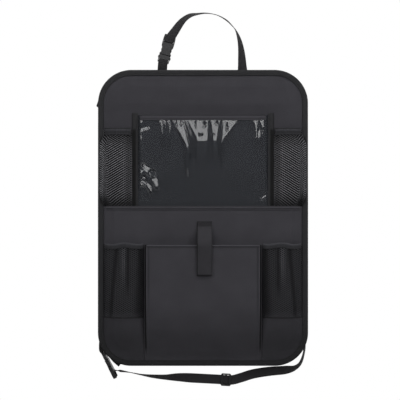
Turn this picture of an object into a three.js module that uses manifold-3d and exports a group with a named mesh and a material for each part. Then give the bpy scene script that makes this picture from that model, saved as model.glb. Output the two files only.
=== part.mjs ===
// Car seat back organizer: a padded fabric panel with mesh, film and cloth pockets,
// hung by two webbing loops, each closed by a side-release buckle.
// Millimetres, +Z up, front towards -Y. The origin is the middle of the back face.
import * as THREE from 'three';
import { mergeVertices } from 'three/addons/utils/BufferGeometryUtils.js';
import Module from 'manifold-3d';

const wasm = await Module();
wasm.setup();

// Panel
const PANEL_WIDTH = 440;
const PANEL_HEIGHT = 620;
const CORNER_RADIUS = 70;
const CORNER_STEPS = 8;
const HALF_WIDTH = PANEL_WIDTH / 2;
const HALF_HEIGHT = PANEL_HEIGHT / 2;

// Cloth, foam and film thicknesses, and the gap left between pieces that touch
const CLOTH = 1.0;
const LINING = 0.8;
const NET = 0.8;
const FILM = 0.5;
const TAPE = 0.9;
const FOAM = 3.0;
const GAP = 0.3;
const LAYER_GAP = 0.5;

// Edge binding: a tape folded over the rim. The padding stops a little way inside it.
const BINDING_WIDTH = 12;
const BINDING_ROUND = 1.1;
const RIM_INSET = 2;
const PADDING_MARGIN = 7;
// The tape's cut end stands out at the left, where the upper corner begins
const TAIL_REACH = 4;
const TAIL_LENGTH = 11;
const TAIL_BELOW_CORNER = 6;

// Tablet window and the tapes at its sides
const WINDOW_BELOW_RIM = 94;
const WINDOW_TAPE_X = 142;
const WINDOW_TAPE_WIDTH = 12;
const WINDOW_TAPE_RISE = 3.6;
const WINDOW_HEM = 12;
const WINDOW_DEPTH = 7;
const UPPER_BOTTOM = 12;

// Upper mesh pockets
const UPPER_BELOW_RIM = 122;
const UPPER_ELASTIC = 14.5;
const UPPER_DEPTH = 15;
const UPPER_MESH_COLUMNS = 8;
const UPPER_MESH_ROWS = 12;

// Wide pocket across the panel: its cloth rises from the rim to a kink, and is flat between the kinks
const WIDE_MOUTH = 25;
const WIDE_HEM = 8;
const WIDE_DEPTH = 8;
const KINK_INSET = 34;

// Lower mesh pockets with their cloth bottoms
const LOWER_MOUTH = -53;
const LOWER_ELASTIC = 11;
const LOWER_DEPTH = 20;
const LOWER_CLOTH_HEIGHT = 104;
const LOWER_MESH_COLUMNS = 10;
const LOWER_MESH_ROWS = 10;
// Each diamond gap of the net as a share of its diamond: the rest is strand
const GAP_SHARE = 0.82;

// Centre pocket with pleated sides
const CENTRE_HALF_WIDTH = 117.5;
const CENTRE_MOUTH = -56;
const CENTRE_HEM = 10;
const CENTRE_DEPTH = 18;
const CENTRE_FLANGE = 5;
const CENTRE_PLEAT = 6;
const CENTRE_CROWN = 2.4;

// Closure tab
const TAB_WIDTH = 31.5;
const TAB_X = 3;
const TAB_TOP = -6.7;
const TAB_SEWN = 13;
const TAB_BOTTOM = -118.4;
const TAB_THICKNESS = 2;
const PATCH_HEIGHT = 30;
const PATCH_THICKNESS = 1.2;
const PATCH_MARGIN = 3;

// Webbing, and how it is sewn to the panel
const STRAP_WIDTH = 20;
const STRAP = 1.4;
const STRAP_SEWN = 36;
const TOP_FOOT_X = 84;
const TOP_LOOP_HEIGHT = 120;

// Side-release buckles
const FIT = 0.3;
const BUCKLE_THICKNESS = 8.4;
const BUCKLE_WALL = 1.5;
const BAR = 3.4;
const SLOT_HEIGHT = 4.6;
const SOCKET_LENGTH = 44;
const PLUG_LENGTH = 16;
const WINDOW_LOW = 5.2;
const WINDOW_HIGH = 18;
const CAVITY_DEPTH = 24;
const SOCKET_SLOT = 26.5;

// Three-bar slider
const SLIDER_X = 48.2;
const SLIDER_HALF_LENGTH = 10.5;
const SLIDER_THICKNESS = 6.4;
const SLIDER_MIDDLE_BAR = 1.7;
const SLIDER_OUTER_BAR = 6.6;

// Where the bottom buckle begins, from the panel's left side and foot, and the slider's stretch of webbing
const BUCKLE_INSET = 16.8;
const BUCKLE_RISE = 12.5;
const SLIDE_RIGHT = 60;
const SLIDE_LEFT = -52;
const SLIDE_RIGHT_DROP = 31.3;
const SLIDE_LEFT_DROP = 25.5;

// Colours as the cloth, net, film, webbing and moulded plastic show them
const finish = (colour, roughness, extra = {}) => () =>
  new THREE.MeshStandardMaterial({ color: colour, roughness, metalness: 0, ...extra });
const clothBlack = finish(0x39393e, 0.8);
const liningBlack = finish(0x2c2c30, 0.85);
const foamGrey = finish(0x55555a, 0.95);
const bindingBlack = finish(0x2b2b2e, 0.75);
const netBlack = finish(0x232326, 0.8);
const elasticBlack = finish(0x2a2a2d, 0.85);
const webbingBlack = finish(0x242426, 0.8);
const plasticBlack = finish(0x2a2a2c, 0.45);
const hookBlack = finish(0x1d1d1f, 0.95);
const filmClear = finish(0x6f7378, 0.12, { transparent: true, opacity: 0.35 });

const organizer = new THREE.Group();

function addPiece(name, geometry, material, parent = organizer) {
  const mesh = new THREE.Mesh(geometry, material());
  mesh.name = name;
  parent.add(mesh);
  return mesh;
}

// Closed bodies from rings and grids of points

const at = (x, y, z) => new THREE.Vector3(x, y, z);
const lerp = THREE.MathUtils.lerp;
const clamp = THREE.MathUtils.clamp;
const smooth = (value, low, high) => THREE.MathUtils.smoothstep(value, low, high);

function closedBody(points, faces) {
  let volume = 0;
  for (const [a, b, c] of faces) {
    volume += points[a].dot(new THREE.Vector3().crossVectors(points[b], points[c]));
  }
  const outward = volume > 0 ? faces : faces.map(([a, b, c]) => [a, c, b]);
  const geometry = new THREE.BufferGeometry().setFromPoints(points);
  geometry.setIndex(outward.flat());
  geometry.computeVertexNormals();
  return geometry;
}

function capFaces(ring, first) {
  const normal = new THREE.Vector3();
  ring.forEach((p, i) => {
    const q = ring[(i + 1) % ring.length];
    normal.add(new THREE.Vector3().crossVectors(p, q));
  });
  const size = normal.toArray().map(Math.abs);
  const drop = size.indexOf(Math.max(...size));
  const flat = ring.map((p) => {
    const kept = p.toArray().filter((_, axis) => axis !== drop);
    return new THREE.Vector2(...kept);
  });
  const area = THREE.ShapeUtils.area(flat);
  const faces = THREE.ShapeUtils.triangulateShape(flat, []);
  return faces.map(([a, b, c]) => (area > 0 ? [a, b, c] : [a, c, b]).map((i) => first + i));
}

// Joins rings of equal count, side by side, into one body. A loop joins its last ring to its first.
function loft(rings, loop = false) {
  const count = rings[0].length;
  const points = rings.flat();
  const faces = [];
  const spans = loop ? rings.length : rings.length - 1;
  for (let i = 0; i < spans; i++) {
    const here = i * count;
    const next = ((i + 1) % rings.length) * count;
    for (let j = 0; j < count; j++) {
      const k = (j + 1) % count;
      faces.push([here + j, here + k, next + k], [here + j, next + k, next + j]);
    }
  }
  if (!loop) {
    const edge = new Map();
    for (const [a, b, c] of faces) {
      for (const [p, q] of [[a, b], [b, c], [c, a]]) edge.set(`${p},${q}`, true);
    }
    for (const first of [0, points.length - count]) {
      const cap = capFaces(points.slice(first, first + count), first);
      const along = edge.has(`${first},${first + 1}`);
      const capAlong = cap.some((f) =>
        [0, 1, 2].some((i) => f[i] === first && f[(i + 1) % 3] === first + 1));
      faces.push(...(along === capAlong ? cap.map(([a, b, c]) => [a, c, b]) : cap));
    }
  }
  return closedBody(points, faces);
}

// A wall with two faces from one layer of triangles: each open edge gets a strip from face to face
function wallOf(places, layer, thickness) {
  const count = places.length;
  const points = [...places, ...places.map((p) => p.clone().add(at(0, thickness, 0)))];
  const open = new Map();
  for (const face of layer) {
    face.forEach((p, i) => {
      const q = face[(i + 1) % 3];
      if (!open.delete(`${q},${p}`)) open.set(`${p},${q}`, [p, q]);
    });
  }
  const back = layer.map(([a, b, c]) => [count + a, count + c, count + b]);
  const strips = [...open.values()].flatMap(([p, q]) => [[q, p, count + p], [q, count + p, count + q]]);
  return closedBody(points, [...layer, ...back, ...strips]);
}

// A cloth wall: a grid of places in rows and columns
function clothWall(heights, columns, front, thickness) {
  const wide = columns.length;
  const places = heights.flatMap((v) => columns.map((u) => front(u, v)));
  const layer = heights.slice(1).flatMap((_, i) => columns.slice(1).flatMap((__, j) => {
    const a = i * wide + j;
    const [b, c, d] = [a + 1, a + wide + 1, a + wide];
    return [[a, b, c], [a, c, d]];
  }));
  return wallOf(places, layer, thickness);
}

// A net wall: diamond gaps between slanting strands, with plain strips where it is sewn or taped.
// Across, u goes from 0 to 1 over the net. Down, v is 0 at its top, 1 at its foot and -1 at the tape's top.
function netWall(across, down, strip, front, thickness) {
  const places = [];
  const known = new Map();
  const corner = (u, v) => {
    const name = `${u.toFixed(6)},${v.toFixed(6)}`;
    if (!known.has(name)) {
      known.set(name, places.length);
      places.push(front(u, v));
    }
    return known.get(name);
  };
  const layer = [];
  const fan = (middle, ring) => ring.slice(1).forEach((p, i) => layer.push([middle, ring[i], p]));
  const node = (i, j) => corner(i / across, j / down);
  const between = (low, high) => strip.filter((u) => u > low - 1e-9 && u < high + 1e-9);
  for (let i = 0; i <= across; i++) {
    for (let j = (i + 1) % 2; j <= down; j += 2) {
      const top = between((i - 1) / across, (i + 1) / across).filter((u) => u >= 0 && u <= 1);
      if (j === 0) fan(node(i, 1), top.map((u) => corner(u, 0)));
      else if (j === down) fan(node(i, j - 1), top.reverse().map((u) => corner(u, 1)));
      else if (i === 0) layer.push([node(0, j - 1), node(1, j), node(0, j + 1)]);
      else if (i === across) layer.push([node(i, j - 1), node(i, j + 1), node(i - 1, j)]);
      else {
        const ring = [[0, -1], [1, 0], [0, 1], [-1, 0]];
        const outer = ring.map(([di, dj]) => node(i + di, j + dj));
        const inner = ring.map(([di, dj]) =>
          corner((i + di * GAP_SHARE) / across, (j + dj * GAP_SHARE) / down));
        outer.forEach((p, n) => {
          const m = (n + 1) % 4;
          layer.push([p, outer[m], inner[m]], [p, inner[m], inner[n]]);
        });
      }
    }
  }
  // The strip under the tape, and the sewn strips at the sides
  const quad = (a, b, c, d) => layer.push([a, b, c], [a, c, d]);
  strip.slice(1).forEach((right, i) => {
    const left = strip[i];
    quad(corner(left, -1), corner(right, -1), corner(right, 0), corner(left, 0));
  });
  for (let j = 0; j < down; j += 2) {
    const [high, low] = [j / down, (j + 2) / down];
    strip.slice(1).forEach((right, i) => {
      const left = strip[i];
      if (right > 0 && left < 1) return;
      quad(corner(left, high), corner(right, high), corner(right, low), corner(left, low));
    });
  }
  return wallOf(places, layer, thickness);
}

// A tape folded over the top edge of a wall: ends gives the wall's middle at the fold and at the tape's foot
function foldedTape(columns, ends, slot, thickness) {
  const half = slot / 2 + thickness;
  return loft(columns.map((u) => {
    const [top, foot] = ends(u);
    const under = top.clone().lerp(foot, thickness / top.distanceTo(foot));
    const shift = (p, dy) => at(p.x, p.y + dy, p.z);
    return [
      shift(foot, -half),
      shift(top, -half),
      shift(top, half),
      shift(foot, half),
      shift(foot, slot / 2),
      shift(under, slot / 2),
      shift(under, -slot / 2),
      shift(foot, -slot / 2),
    ];
  }));
}

const steps = (low, high, count) =>
  Array.from({ length: count + 1 }, (_, i) => lerp(low, high, i / count));

// Heights of a wall's rows: its top, shares of the way down, and its foot
const rows = (top, foot, shares) => [top, ...shares.map((share) => lerp(top, foot, share)), foot];

// Outline of the panel, and how far in a point of its edge lies

const CORNER_X = HALF_WIDTH - CORNER_RADIUS;
const CORNER_Z = HALF_HEIGHT - CORNER_RADIUS;

// The outline's corners as arcs: one ring of points at an inset and a depth
function outline(inset, y) {
  const corners = [[1, 1, 0], [-1, 1, 1], [-1, -1, 2], [1, -1, 3]];
  return corners.flatMap(([sx, sz, quarter]) =>
    steps(0, 1, CORNER_STEPS).map((t) => {
      const angle = (quarter + t) * Math.PI / 2;
      const radius = CORNER_RADIUS - inset;
      return at(sx * CORNER_X + radius * Math.cos(angle), y, sz * CORNER_Z + radius * Math.sin(angle));
    }));
}

// Half the panel's width at a height, less an inset
function edgeX(z, inset) {
  const past = Math.max(0, Math.abs(z) - CORNER_Z);
  const radius = CORNER_RADIUS - inset;
  return CORNER_X + Math.sqrt(Math.max(0, radius ** 2 - past ** 2));
}

// Places that follow from the rim, and depths of the layers from the back face forwards

const BINDING_EDGE = BINDING_WIDTH + 1;
const PAD_INSET = BINDING_EDGE + PADDING_MARGIN;
const WINDOW_TOP = HALF_HEIGHT - WINDOW_BELOW_RIM;
const UPPER_MOUTH = HALF_HEIGHT - UPPER_BELOW_RIM;
const LOWER_SEAM = LOWER_CLOTH_HEIGHT - HALF_HEIGHT;
const OPEN_FOOT = BINDING_EDGE - HALF_HEIGHT;
const SEWN_FOOT = RIM_INSET - HALF_HEIGHT;

const LINING_FRONT = -LINING;
const FOAM_BACK = LINING_FRONT - GAP;
const FOAM_FRONT = FOAM_BACK - FOAM;
const PANEL_BACK = FOAM_FRONT - GAP;
const PANEL_FRONT = PANEL_BACK - CLOTH;
const RIM_LINING_FRONT = PANEL_BACK + GAP;
const RIM_LINING_BACK = RIM_LINING_FRONT + LINING;
const BINDING_BACK = RIM_LINING_BACK + GAP + TAPE;
const FIRST_CLOTH = PANEL_FRONT - GAP - CLOTH;
const SECOND_CLOTH = FIRST_CLOTH - LAYER_GAP - CLOTH;

// How many pocket edges the binding holds grows from the top of the panel to its foot
function bindingFront(z) {
  const one = 1 - smooth(z, UPPER_MOUTH + 2, UPPER_MOUTH + 25);
  const two = 1 - smooth(z, WIDE_MOUTH + 10, WIDE_MOUTH + 60);
  const bare = PANEL_FRONT - GAP - TAPE;
  const single = FIRST_CLOTH - GAP - TAPE;
  const double = SECOND_CLOTH - GAP - TAPE;
  return bare + (single - bare) * one + (double - single) * two;
}

// The padded panel: the lining lies flat on the seat and dips to the rim round the foam

const flatMiddle = outline(PAD_INSET, 0).map((p) => p.multiplyScalar(0.5));
addPiece('rear_lining', loft([
  flatMiddle,
  outline(PAD_INSET, 0),
  outline(BINDING_EDGE, RIM_LINING_BACK),
  outline(RIM_INSET, RIM_LINING_BACK),
  outline(RIM_INSET, RIM_LINING_FRONT),
  outline(BINDING_EDGE, RIM_LINING_FRONT),
  outline(PAD_INSET, LINING_FRONT),
]), liningBlack);
addPiece('foam_core', loft([
  outline(PAD_INSET + 2, FOAM_BACK),
  outline(PAD_INSET + 2, FOAM_FRONT),
]), foamGrey);
addPiece('front_panel', loft([
  outline(RIM_INSET, PANEL_BACK),
  outline(RIM_INSET, PANEL_FRONT),
]), clothBlack);

// The binding is a C in section, as [inset, y] places, and closes on itself round the rim
function bindingSection(z) {
  const front = bindingFront(z);
  const fold = TAPE + 0.1;
  return [
    [BINDING_WIDTH, BINDING_BACK],
    [BINDING_ROUND, BINDING_BACK],
    [0, BINDING_BACK - BINDING_ROUND],
    [0, front + BINDING_ROUND],
    [BINDING_ROUND, front],
    [BINDING_WIDTH, front],
    [BINDING_WIDTH, front + TAPE],
    [fold, front + TAPE],
    [fold, BINDING_BACK - TAPE],
    [BINDING_WIDTH, BINDING_BACK - TAPE],
  ];
}

function bindingRings() {
  const sideHeights = [
    CORNER_Z - 10, UPPER_MOUTH + 25, UPPER_MOUTH + 13, UPPER_MOUTH + 2, 130,
    WIDE_MOUTH + 60, WIDE_MOUTH + 35, WIDE_MOUTH + 10, 0, -CORNER_Z / 2, 10 - CORNER_Z,
  ].filter((z) => Math.abs(z) < CORNER_Z - 4);
  const rim = outline(0, 0);
  const inner = outline(1, 0);
  const ways = rim.map((p, i) => ({ p, inward: inner[i].clone().sub(p) }));
  const side = (sign, heights) => heights.map((z) => ({
    p: at(sign * HALF_WIDTH, 0, z),
    inward: at(-sign, 0, 0),
  }));
  const tailZ = CORNER_Z - TAIL_BELOW_CORNER;
  const tailShare = (z) => clamp(1 - (z - tailZ) / TAIL_LENGTH, 0, 1);
  const tailAt = ({ x, z }) => (x < 0 && z >= tailZ ? TAIL_REACH * tailShare(z) : 0);
  const quarter = CORNER_STEPS + 1;
  const stations = [
    ...ways.slice(0, 2 * quarter),
    ...side(-1, [tailZ, tailZ - 1.5, ...sideHeights]),
    ...ways.slice(2 * quarter),
    ...side(1, [...sideHeights].reverse()),
  ];
  return stations.map(({ p, inward }) => bindingSection(p.z).map(([inset, y]) => {
    const out = inset > BINDING_ROUND ? 0 : tailAt(p);
    return p.clone().addScaledVector(inward, inset - out).setY(y);
  }));
}
addPiece('edge_binding', loft(bindingRings(), true), bindingBlack);

// Upper half: tablet window and mesh pockets

// A pocket wall's rise across its width, from each edge to a crown
const crown = (u, power) => Math.pow(Math.sin(Math.PI * clamp(u, 0, 1)), power);

const windowEdge = WINDOW_TAPE_X - GAP;
const windowFlat = WINDOW_TAPE_X - WINDOW_TAPE_WIDTH / 2 - 1;
const windowHemEnd = windowFlat - 4;
const windowSlot = FILM + 2 * GAP;
const windowBase = PANEL_FRONT - GAP - FILM;
// The film stands off the panel by at least the fold of the hem behind it
const windowLift = TAPE + windowSlot / 2 - FILM / 2;
function windowRise(x, z) {
  const across = 1 - Math.pow(Math.min(1, Math.abs(x) / windowHemEnd), 6);
  const down = smooth(z, UPPER_BOTTOM + 15, UPPER_BOTTOM + 70);
  const held = Math.abs(x) < windowFlat ? 1 : 0;
  return (windowLift * held + WINDOW_DEPTH * across) * down;
}
const filmColumns = [-1, -0.95, -0.86, -0.73, -0.38, 0, 0.38, 0.73, 0.86, 0.95, 1]
  .map((u) => u * windowHemEnd);
addPiece('tablet_window', clothWall(
  rows(WINDOW_TOP - TAPE - GAP, UPPER_BOTTOM, [0.12, 0.32, 0.52, 0.69, 0.79, 0.86, 0.93]),
  [-windowEdge, -windowFlat, ...filmColumns, windowFlat, windowEdge],
  (x, z) => at(x, windowBase - windowRise(x, z), z),
  FILM,
), filmClear);
addPiece('window_top_hem', foldedTape(
  filmColumns,
  (x) => [WINDOW_TOP, WINDOW_TOP - WINDOW_HEM].map((z) =>
    at(x, windowBase + FILM / 2 - windowRise(x, z), z)),
  windowSlot,
  TAPE,
), bindingBlack);

function box(xLow, xHigh, yLow, yHigh, zLow, zHigh) {
  const geometry = new THREE.BoxGeometry(xHigh - xLow, yHigh - yLow, zHigh - zLow);
  geometry.translate((xLow + xHigh) / 2, (yLow + yHigh) / 2, (zLow + zHigh) / 2);
  return geometry;
}
const sides = { left: -1, right: 1 };
for (const [side, sign] of Object.entries(sides)) {
  const tapeBack = PANEL_FRONT - GAP - NET - GAP;
  const [a, b] = [-1, 1].map((s) => sign * WINDOW_TAPE_X + s * WINDOW_TAPE_WIDTH / 2);
  addPiece(`window_tape_${side}`, box(
    a, b, tapeBack - TAPE, tapeBack, UPPER_BOTTOM, WINDOW_TOP + WINDOW_TAPE_RISE,
  ), bindingBlack);
}

// The net hangs between the binding and the window's tape, and bellies out below its mouth
const upperInner = WINDOW_TAPE_X + GAP;
const upperTapeOuter = WINDOW_TAPE_X + WINDOW_TAPE_WIDTH / 2 + 1;
const upperBase = PANEL_FRONT - GAP - NET;
function upperPoint(sign, u, z) {
  const outer = edgeX(z, RIM_INSET);
  const open = edgeX(z, BINDING_EDGE);
  if (u < 0) return at(sign * lerp(upperTapeOuter, upperInner, -u), upperBase, z);
  if (u > 1) return at(sign * lerp(open, outer, u - 1), upperBase, z);
  const down = (UPPER_MOUTH - z) / (UPPER_MOUTH - UPPER_BOTTOM);
  const belly = lerp(0.62, 1, smooth(down, 0, 0.35)) * (1 - smooth(down, 0.45, 0.93));
  return at(sign * lerp(upperTapeOuter, open, u), upperBase - UPPER_DEPTH * crown(u, 0.7) * belly, z);
}
const upperOpenColumns = [0.05, ...steps(0, 1, UPPER_MESH_COLUMNS).slice(1, -1), 0.95];
// By the rim the net's foot stops above the wide pocket
const upperFoot = (u) => lerp(UPPER_BOTTOM, WIDE_MOUTH + 2 * GAP, smooth(u, 0.74, 0.88));
for (const [side, sign] of Object.entries(sides)) {
  addPiece(`upper_mesh_${side}`, netWall(
    UPPER_MESH_COLUMNS,
    UPPER_MESH_ROWS,
    [-1, 0, ...upperOpenColumns, 1, 2],
    (u, v) => {
      const seam = UPPER_MOUTH - UPPER_ELASTIC;
      return upperPoint(sign, u, v < 0 ? UPPER_MOUTH - TAPE - GAP : lerp(seam, upperFoot(u), v));
    },
    NET,
  ), netBlack);
  const slot = NET + 2 * GAP;
  addPiece(`upper_elastic_${side}`, foldedTape(
    upperOpenColumns,
    (u) => [UPPER_MOUTH, UPPER_MOUTH - UPPER_ELASTIC].map((z) =>
      upperPoint(sign, u, z).add(at(0, NET / 2, 0))),
    slot,
    TAPE,
  ), elasticBlack);
}

// Wide pocket: one cloth from rim to rim, open at the top

const footRows = [...[57, 39, 25, 13, 0].map((rise) => OPEN_FOOT + rise), SEWN_FOOT];
const lowerRows = [...rows(LOWER_MOUTH, LOWER_SEAM, [0.24, 0.5, 0.76]), ...footRows];
const wideRows = [...rows(WIDE_MOUTH - TAPE - GAP, LOWER_MOUTH, [0.09, 0.5]).slice(0, -1), ...lowerRows];
function wideRise(z) {
  return WIDE_DEPTH * smooth(z, OPEN_FOOT, OPEN_FOOT + 70);
}
// Columns as multiples: 3 is the rim, 2 the binding's edge, 1 the kink, and less is towards the middle
function wideX(u, z) {
  const kink = edgeX(z, KINK_INSET);
  const open = Math.max(edgeX(z, BINDING_EDGE), kink + 1);
  const rim = Math.max(edgeX(z, RIM_INSET), open + 1);
  const size = Math.abs(u);
  if (size <= 1) return u * kink;
  const x = size <= 2 ? lerp(kink, open, size - 1) : lerp(open, rim, size - 2);
  return Math.sign(u) * x;
}
function wideY(u, z) {
  const size = Math.abs(u);
  return FIRST_CLOTH - wideRise(z) * (size <= 1 ? 1 : size <= 2 ? 2 - size : 0);
}
addPiece('wide_pocket', clothWall(
  wideRows,
  [-3, -2, -1, -0.5, 0, 0.5, 1, 2, 3],
  (u, z) => at(wideX(u, z), wideY(u, z), z),
  CLOTH,
), clothBlack);
const wideSlot = CLOTH + 2 * GAP;
// The hem's tape stops where the cloth leaves it no room above the panel
const WIDE_HEM_END = 2 - (TAPE + 2 * GAP) / WIDE_DEPTH;
addPiece('wide_pocket_hem', foldedTape(
  [-WIDE_HEM_END, -1, -0.5, 0, 0.5, 1, WIDE_HEM_END],
  (u) => [WIDE_MOUTH, WIDE_MOUTH - WIDE_HEM].map((z) =>
    at(wideX(u, z), wideY(u, z) + CLOTH / 2, z)),
  wideSlot,
  TAPE,
), bindingBlack);

// Front of the wide pocket at a place, on which the lower pockets lie
function wideFrontAt(x, z) {
  const kink = edgeX(z, KINK_INSET);
  const open = Math.max(edgeX(z, BINDING_EDGE), kink + 1);
  const share = clamp((open - Math.abs(x)) / (open - kink), 0, 1);
  return FIRST_CLOTH - wideRise(z) * share;
}

// Lower side pockets: net above, cloth below, one bag from the binding to the centre pocket

const LOWER_INNER_X = CENTRE_HALF_WIDTH + CENTRE_FLANGE + 0.7;
function lowerX(u, z) {
  const open = Math.max(edgeX(z, BINDING_EDGE), LOWER_INNER_X + 8);
  const rim = Math.max(edgeX(z, RIM_INSET), open + 1);
  if (u > 1) return lerp(open, rim, u - 1);
  return lerp(LOWER_INNER_X, open, u);
}
// The gathers: a ridge down the middle of the bag with a fold at each side of it
function gathers(u, fall) {
  const lean = u - 0.12 * (1 - fall);
  return 2.6 * fall * (Math.cos(2 * Math.PI * (lean - 0.42) * 2.1) - 1) * crown(u, 1);
}
function lowerBelly(u, z) {
  if (u >= 1 || u <= 0) return 0;
  const top = lerp(0.66, 1, smooth(-z, -LOWER_MOUTH, 60 - LOWER_MOUTH));
  const foot = smooth(z, OPEN_FOOT, LOWER_SEAM + 50);
  const fall = smooth(z, LOWER_SEAM, LOWER_MOUTH - 20);
  return (LOWER_DEPTH * crown(u, 0.6) + gathers(u, fall)) * top * foot;
}
function lowerPoint(sign, u, z, thickness) {
  const x = lowerX(u, z);
  const base = wideFrontAt(x, z) - LAYER_GAP - thickness;
  return at(sign * x, base - Math.max(0, lowerBelly(u, z)), z);
}
const lowerOpenColumns = [0.03, ...steps(0, 1, LOWER_MESH_COLUMNS).slice(1, -1), 0.97];
const lowerColumns = [0, ...lowerOpenColumns, 1, 2];
// The elastic draws the mouth up in two waves, which die out below it
const mouthWave = (u) => 2.2 * Math.cos(2 * Math.PI * (u - 0.46) * 1.3) * crown(u, 0.8);
function lowerNetPoint(sign, u, z) {
  const wave = mouthWave(u) * smooth(z, LOWER_MOUTH - 50, LOWER_MOUTH - LOWER_ELASTIC);
  return lowerPoint(sign, u, z, NET).add(at(0, 0, wave));
}
for (const [side, sign] of Object.entries(sides)) {
  addPiece(`lower_mesh_${side}`, netWall(
    LOWER_MESH_COLUMNS,
    LOWER_MESH_ROWS,
    lowerColumns,
    (u, v) => {
      const seam = LOWER_MOUTH - LOWER_ELASTIC;
      return lowerNetPoint(sign, u, v < 0 ? LOWER_MOUTH - TAPE - GAP : lerp(seam, LOWER_SEAM + GAP / 2, v));
    },
    NET,
  ), netBlack);
  addPiece(`lower_elastic_${side}`, foldedTape(
    lowerOpenColumns,
    (u) => [LOWER_MOUTH, LOWER_MOUTH - LOWER_ELASTIC].map((z) =>
      lowerNetPoint(sign, u, z).add(at(0, NET / 2, 0))),
    NET + 2 * GAP,
    TAPE,
  ), elasticBlack);
  addPiece(`lower_pocket_foot_${side}`, clothWall(
    [LOWER_SEAM - GAP / 2, ...footRows],
    lowerColumns,
    (u, z) => lowerPoint(sign, u, z, CLOTH),
    CLOTH,
  ), clothBlack);
}

// Centre pocket: flange, pleated side, front, and the same again, as one folded cloth

const centreRows = [CENTRE_MOUTH, CENTRE_MOUTH - CENTRE_HEM, ...lowerRows.slice(1)];
function centreDepth(z) {
  return Math.max(0.2, CENTRE_DEPTH * smooth(z, OPEN_FOOT, OPEN_FOOT + 120));
}
function centreLine(z) {
  const depth = centreDepth(z);
  const pleat = CENTRE_PLEAT * Math.pow(depth / CENTRE_DEPTH, 1.5);
  const half = [
    [CENTRE_HALF_WIDTH + CENTRE_FLANGE, 0],
    [CENTRE_HALF_WIDTH + 0.5, 0],
    [CENTRE_HALF_WIDTH - pleat, depth * 0.5],
    [CENTRE_HALF_WIDTH, depth],
    [CENTRE_HALF_WIDTH * 0.8, depth + CENTRE_CROWN * 0.5],
    [CENTRE_HALF_WIDTH * 0.4, depth + CENTRE_CROWN],
  ];
  const open = smooth(z, OPEN_FOOT, OPEN_FOOT + 20);
  const line = half.map(([x, rise]) => new THREE.Vector2(x, rise * (rise > depth ? open : 1)));
  return [...line, ...line.map((p) => new THREE.Vector2(-p.x, p.y)).reverse()];
}
// Offsets a line of points to both sides by half the cloth, with mitred corners
function clothSection(line, thickness) {
  const normals = line.slice(1).map((p, i) => {
    const way = p.clone().sub(line[i]).normalize();
    return new THREE.Vector2(-way.y, way.x);
  });
  const mitres = line.map((_, i) => {
    const before = normals[Math.max(0, i - 1)];
    const after = normals[Math.min(normals.length - 1, i)];
    const middle = before.clone().add(after).normalize();
    return middle.multiplyScalar(thickness / 2 / Math.max(0.45, middle.dot(after)));
  });
  return [
    ...line.map((p, i) => p.clone().add(mitres[i])),
    ...line.map((p, i) => p.clone().sub(mitres[i])).reverse(),
  ];
}
addPiece('centre_pocket', loft(centreRows.map((z) => {
  const seat = wideFrontAt(CENTRE_HALF_WIDTH, z) - LAYER_GAP - CLOTH / 2;
  return clothSection(centreLine(z), CLOTH).map((p) => at(p.x, seat - p.y, z));
})), clothBlack);

const centreFrontAt = (z) => {
  const seat = wideFrontAt(CENTRE_HALF_WIDTH, z) - LAYER_GAP - CLOTH / 2;
  return seat - centreDepth(z) - CENTRE_CROWN - CLOTH / 2;
};

// Closure tab: sewn to the wide pocket, it comes over the centre pocket's mouth and fastens on its front

const wideFace = wideFrontAt(TAB_X, TAB_TOP);
const centreFace = centreFrontAt(CENTRE_MOUTH);
const loopFront = centreFace - GAP - PATCH_THICKNESS;
const hookFront = loopFront - GAP - PATCH_THICKNESS;
const tabBack = hookFront - GAP;
const tabLine = [
  [wideFace - GAP, TAB_TOP],
  [wideFace - GAP, TAB_TOP - TAB_SEWN],
  [lerp(wideFace, tabBack, 0.3), TAB_TOP - TAB_SEWN - 9],
  [lerp(wideFace, tabBack, 0.78), CENTRE_MOUTH + 15],
  [tabBack - 1, CENTRE_MOUTH + 2],
  [tabBack, CENTRE_MOUTH - 14],
  [tabBack, TAB_BOTTOM],
];
addPiece('closure_tab', clothWall(
  tabLine.map((_, i) => i),
  [-1, 1],
  (u, row) => at(TAB_X + u * TAB_WIDTH / 2, tabLine[row][0] - TAB_THICKNESS, tabLine[row][1]),
  TAB_THICKNESS,
), clothBlack);
const patchLow = TAB_BOTTOM + PATCH_MARGIN;
const patchHalf = TAB_WIDTH / 2 - PATCH_MARGIN;
addPiece('closure_hook_patch', box(
  TAB_X - patchHalf, TAB_X + patchHalf, hookFront, hookFront + PATCH_THICKNESS,
  patchLow, patchLow + PATCH_HEIGHT,
), hookBlack);
addPiece('closure_loop_patch', box(
  TAB_X - patchHalf, TAB_X + patchHalf, loopFront, loopFront + PATCH_THICKNESS,
  patchLow, patchLow + PATCH_HEIGHT,
), hookBlack);

// Webbing: a flat band along a curve. Each key has a place and the turn of the band's width
// away from the picture plane, in degrees.

function webbing(keys, count) {
  const path = new THREE.CatmullRomCurve3(keys.map(([x, y, z]) => at(x, y, z)), false, 'centripetal');
  const turns = keys.map(([, , , turn]) => THREE.MathUtils.degToRad(turn));
  return loft(steps(0, 1, count).map((t) => {
    const place = path.getPoint(t);
    const way = path.getTangent(t);
    const key = Math.min(Math.floor(t * (keys.length - 1)), keys.length - 2);
    const turn = lerp(turns[key], turns[key + 1], t * (keys.length - 1) - key);
    const width = new THREE.Vector3().crossVectors(way, at(0, 1, 0)).normalize().applyAxisAngle(way, turn);
    const thick = new THREE.Vector3().crossVectors(way, width).normalize();
    return [[1, 1], [-1, 1], [-1, -1], [1, -1]].map(([w, h]) => place.clone()
      .addScaledVector(width, w * STRAP_WIDTH / 2)
      .addScaledVector(thick, h * STRAP / 2));
  }));
}

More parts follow.
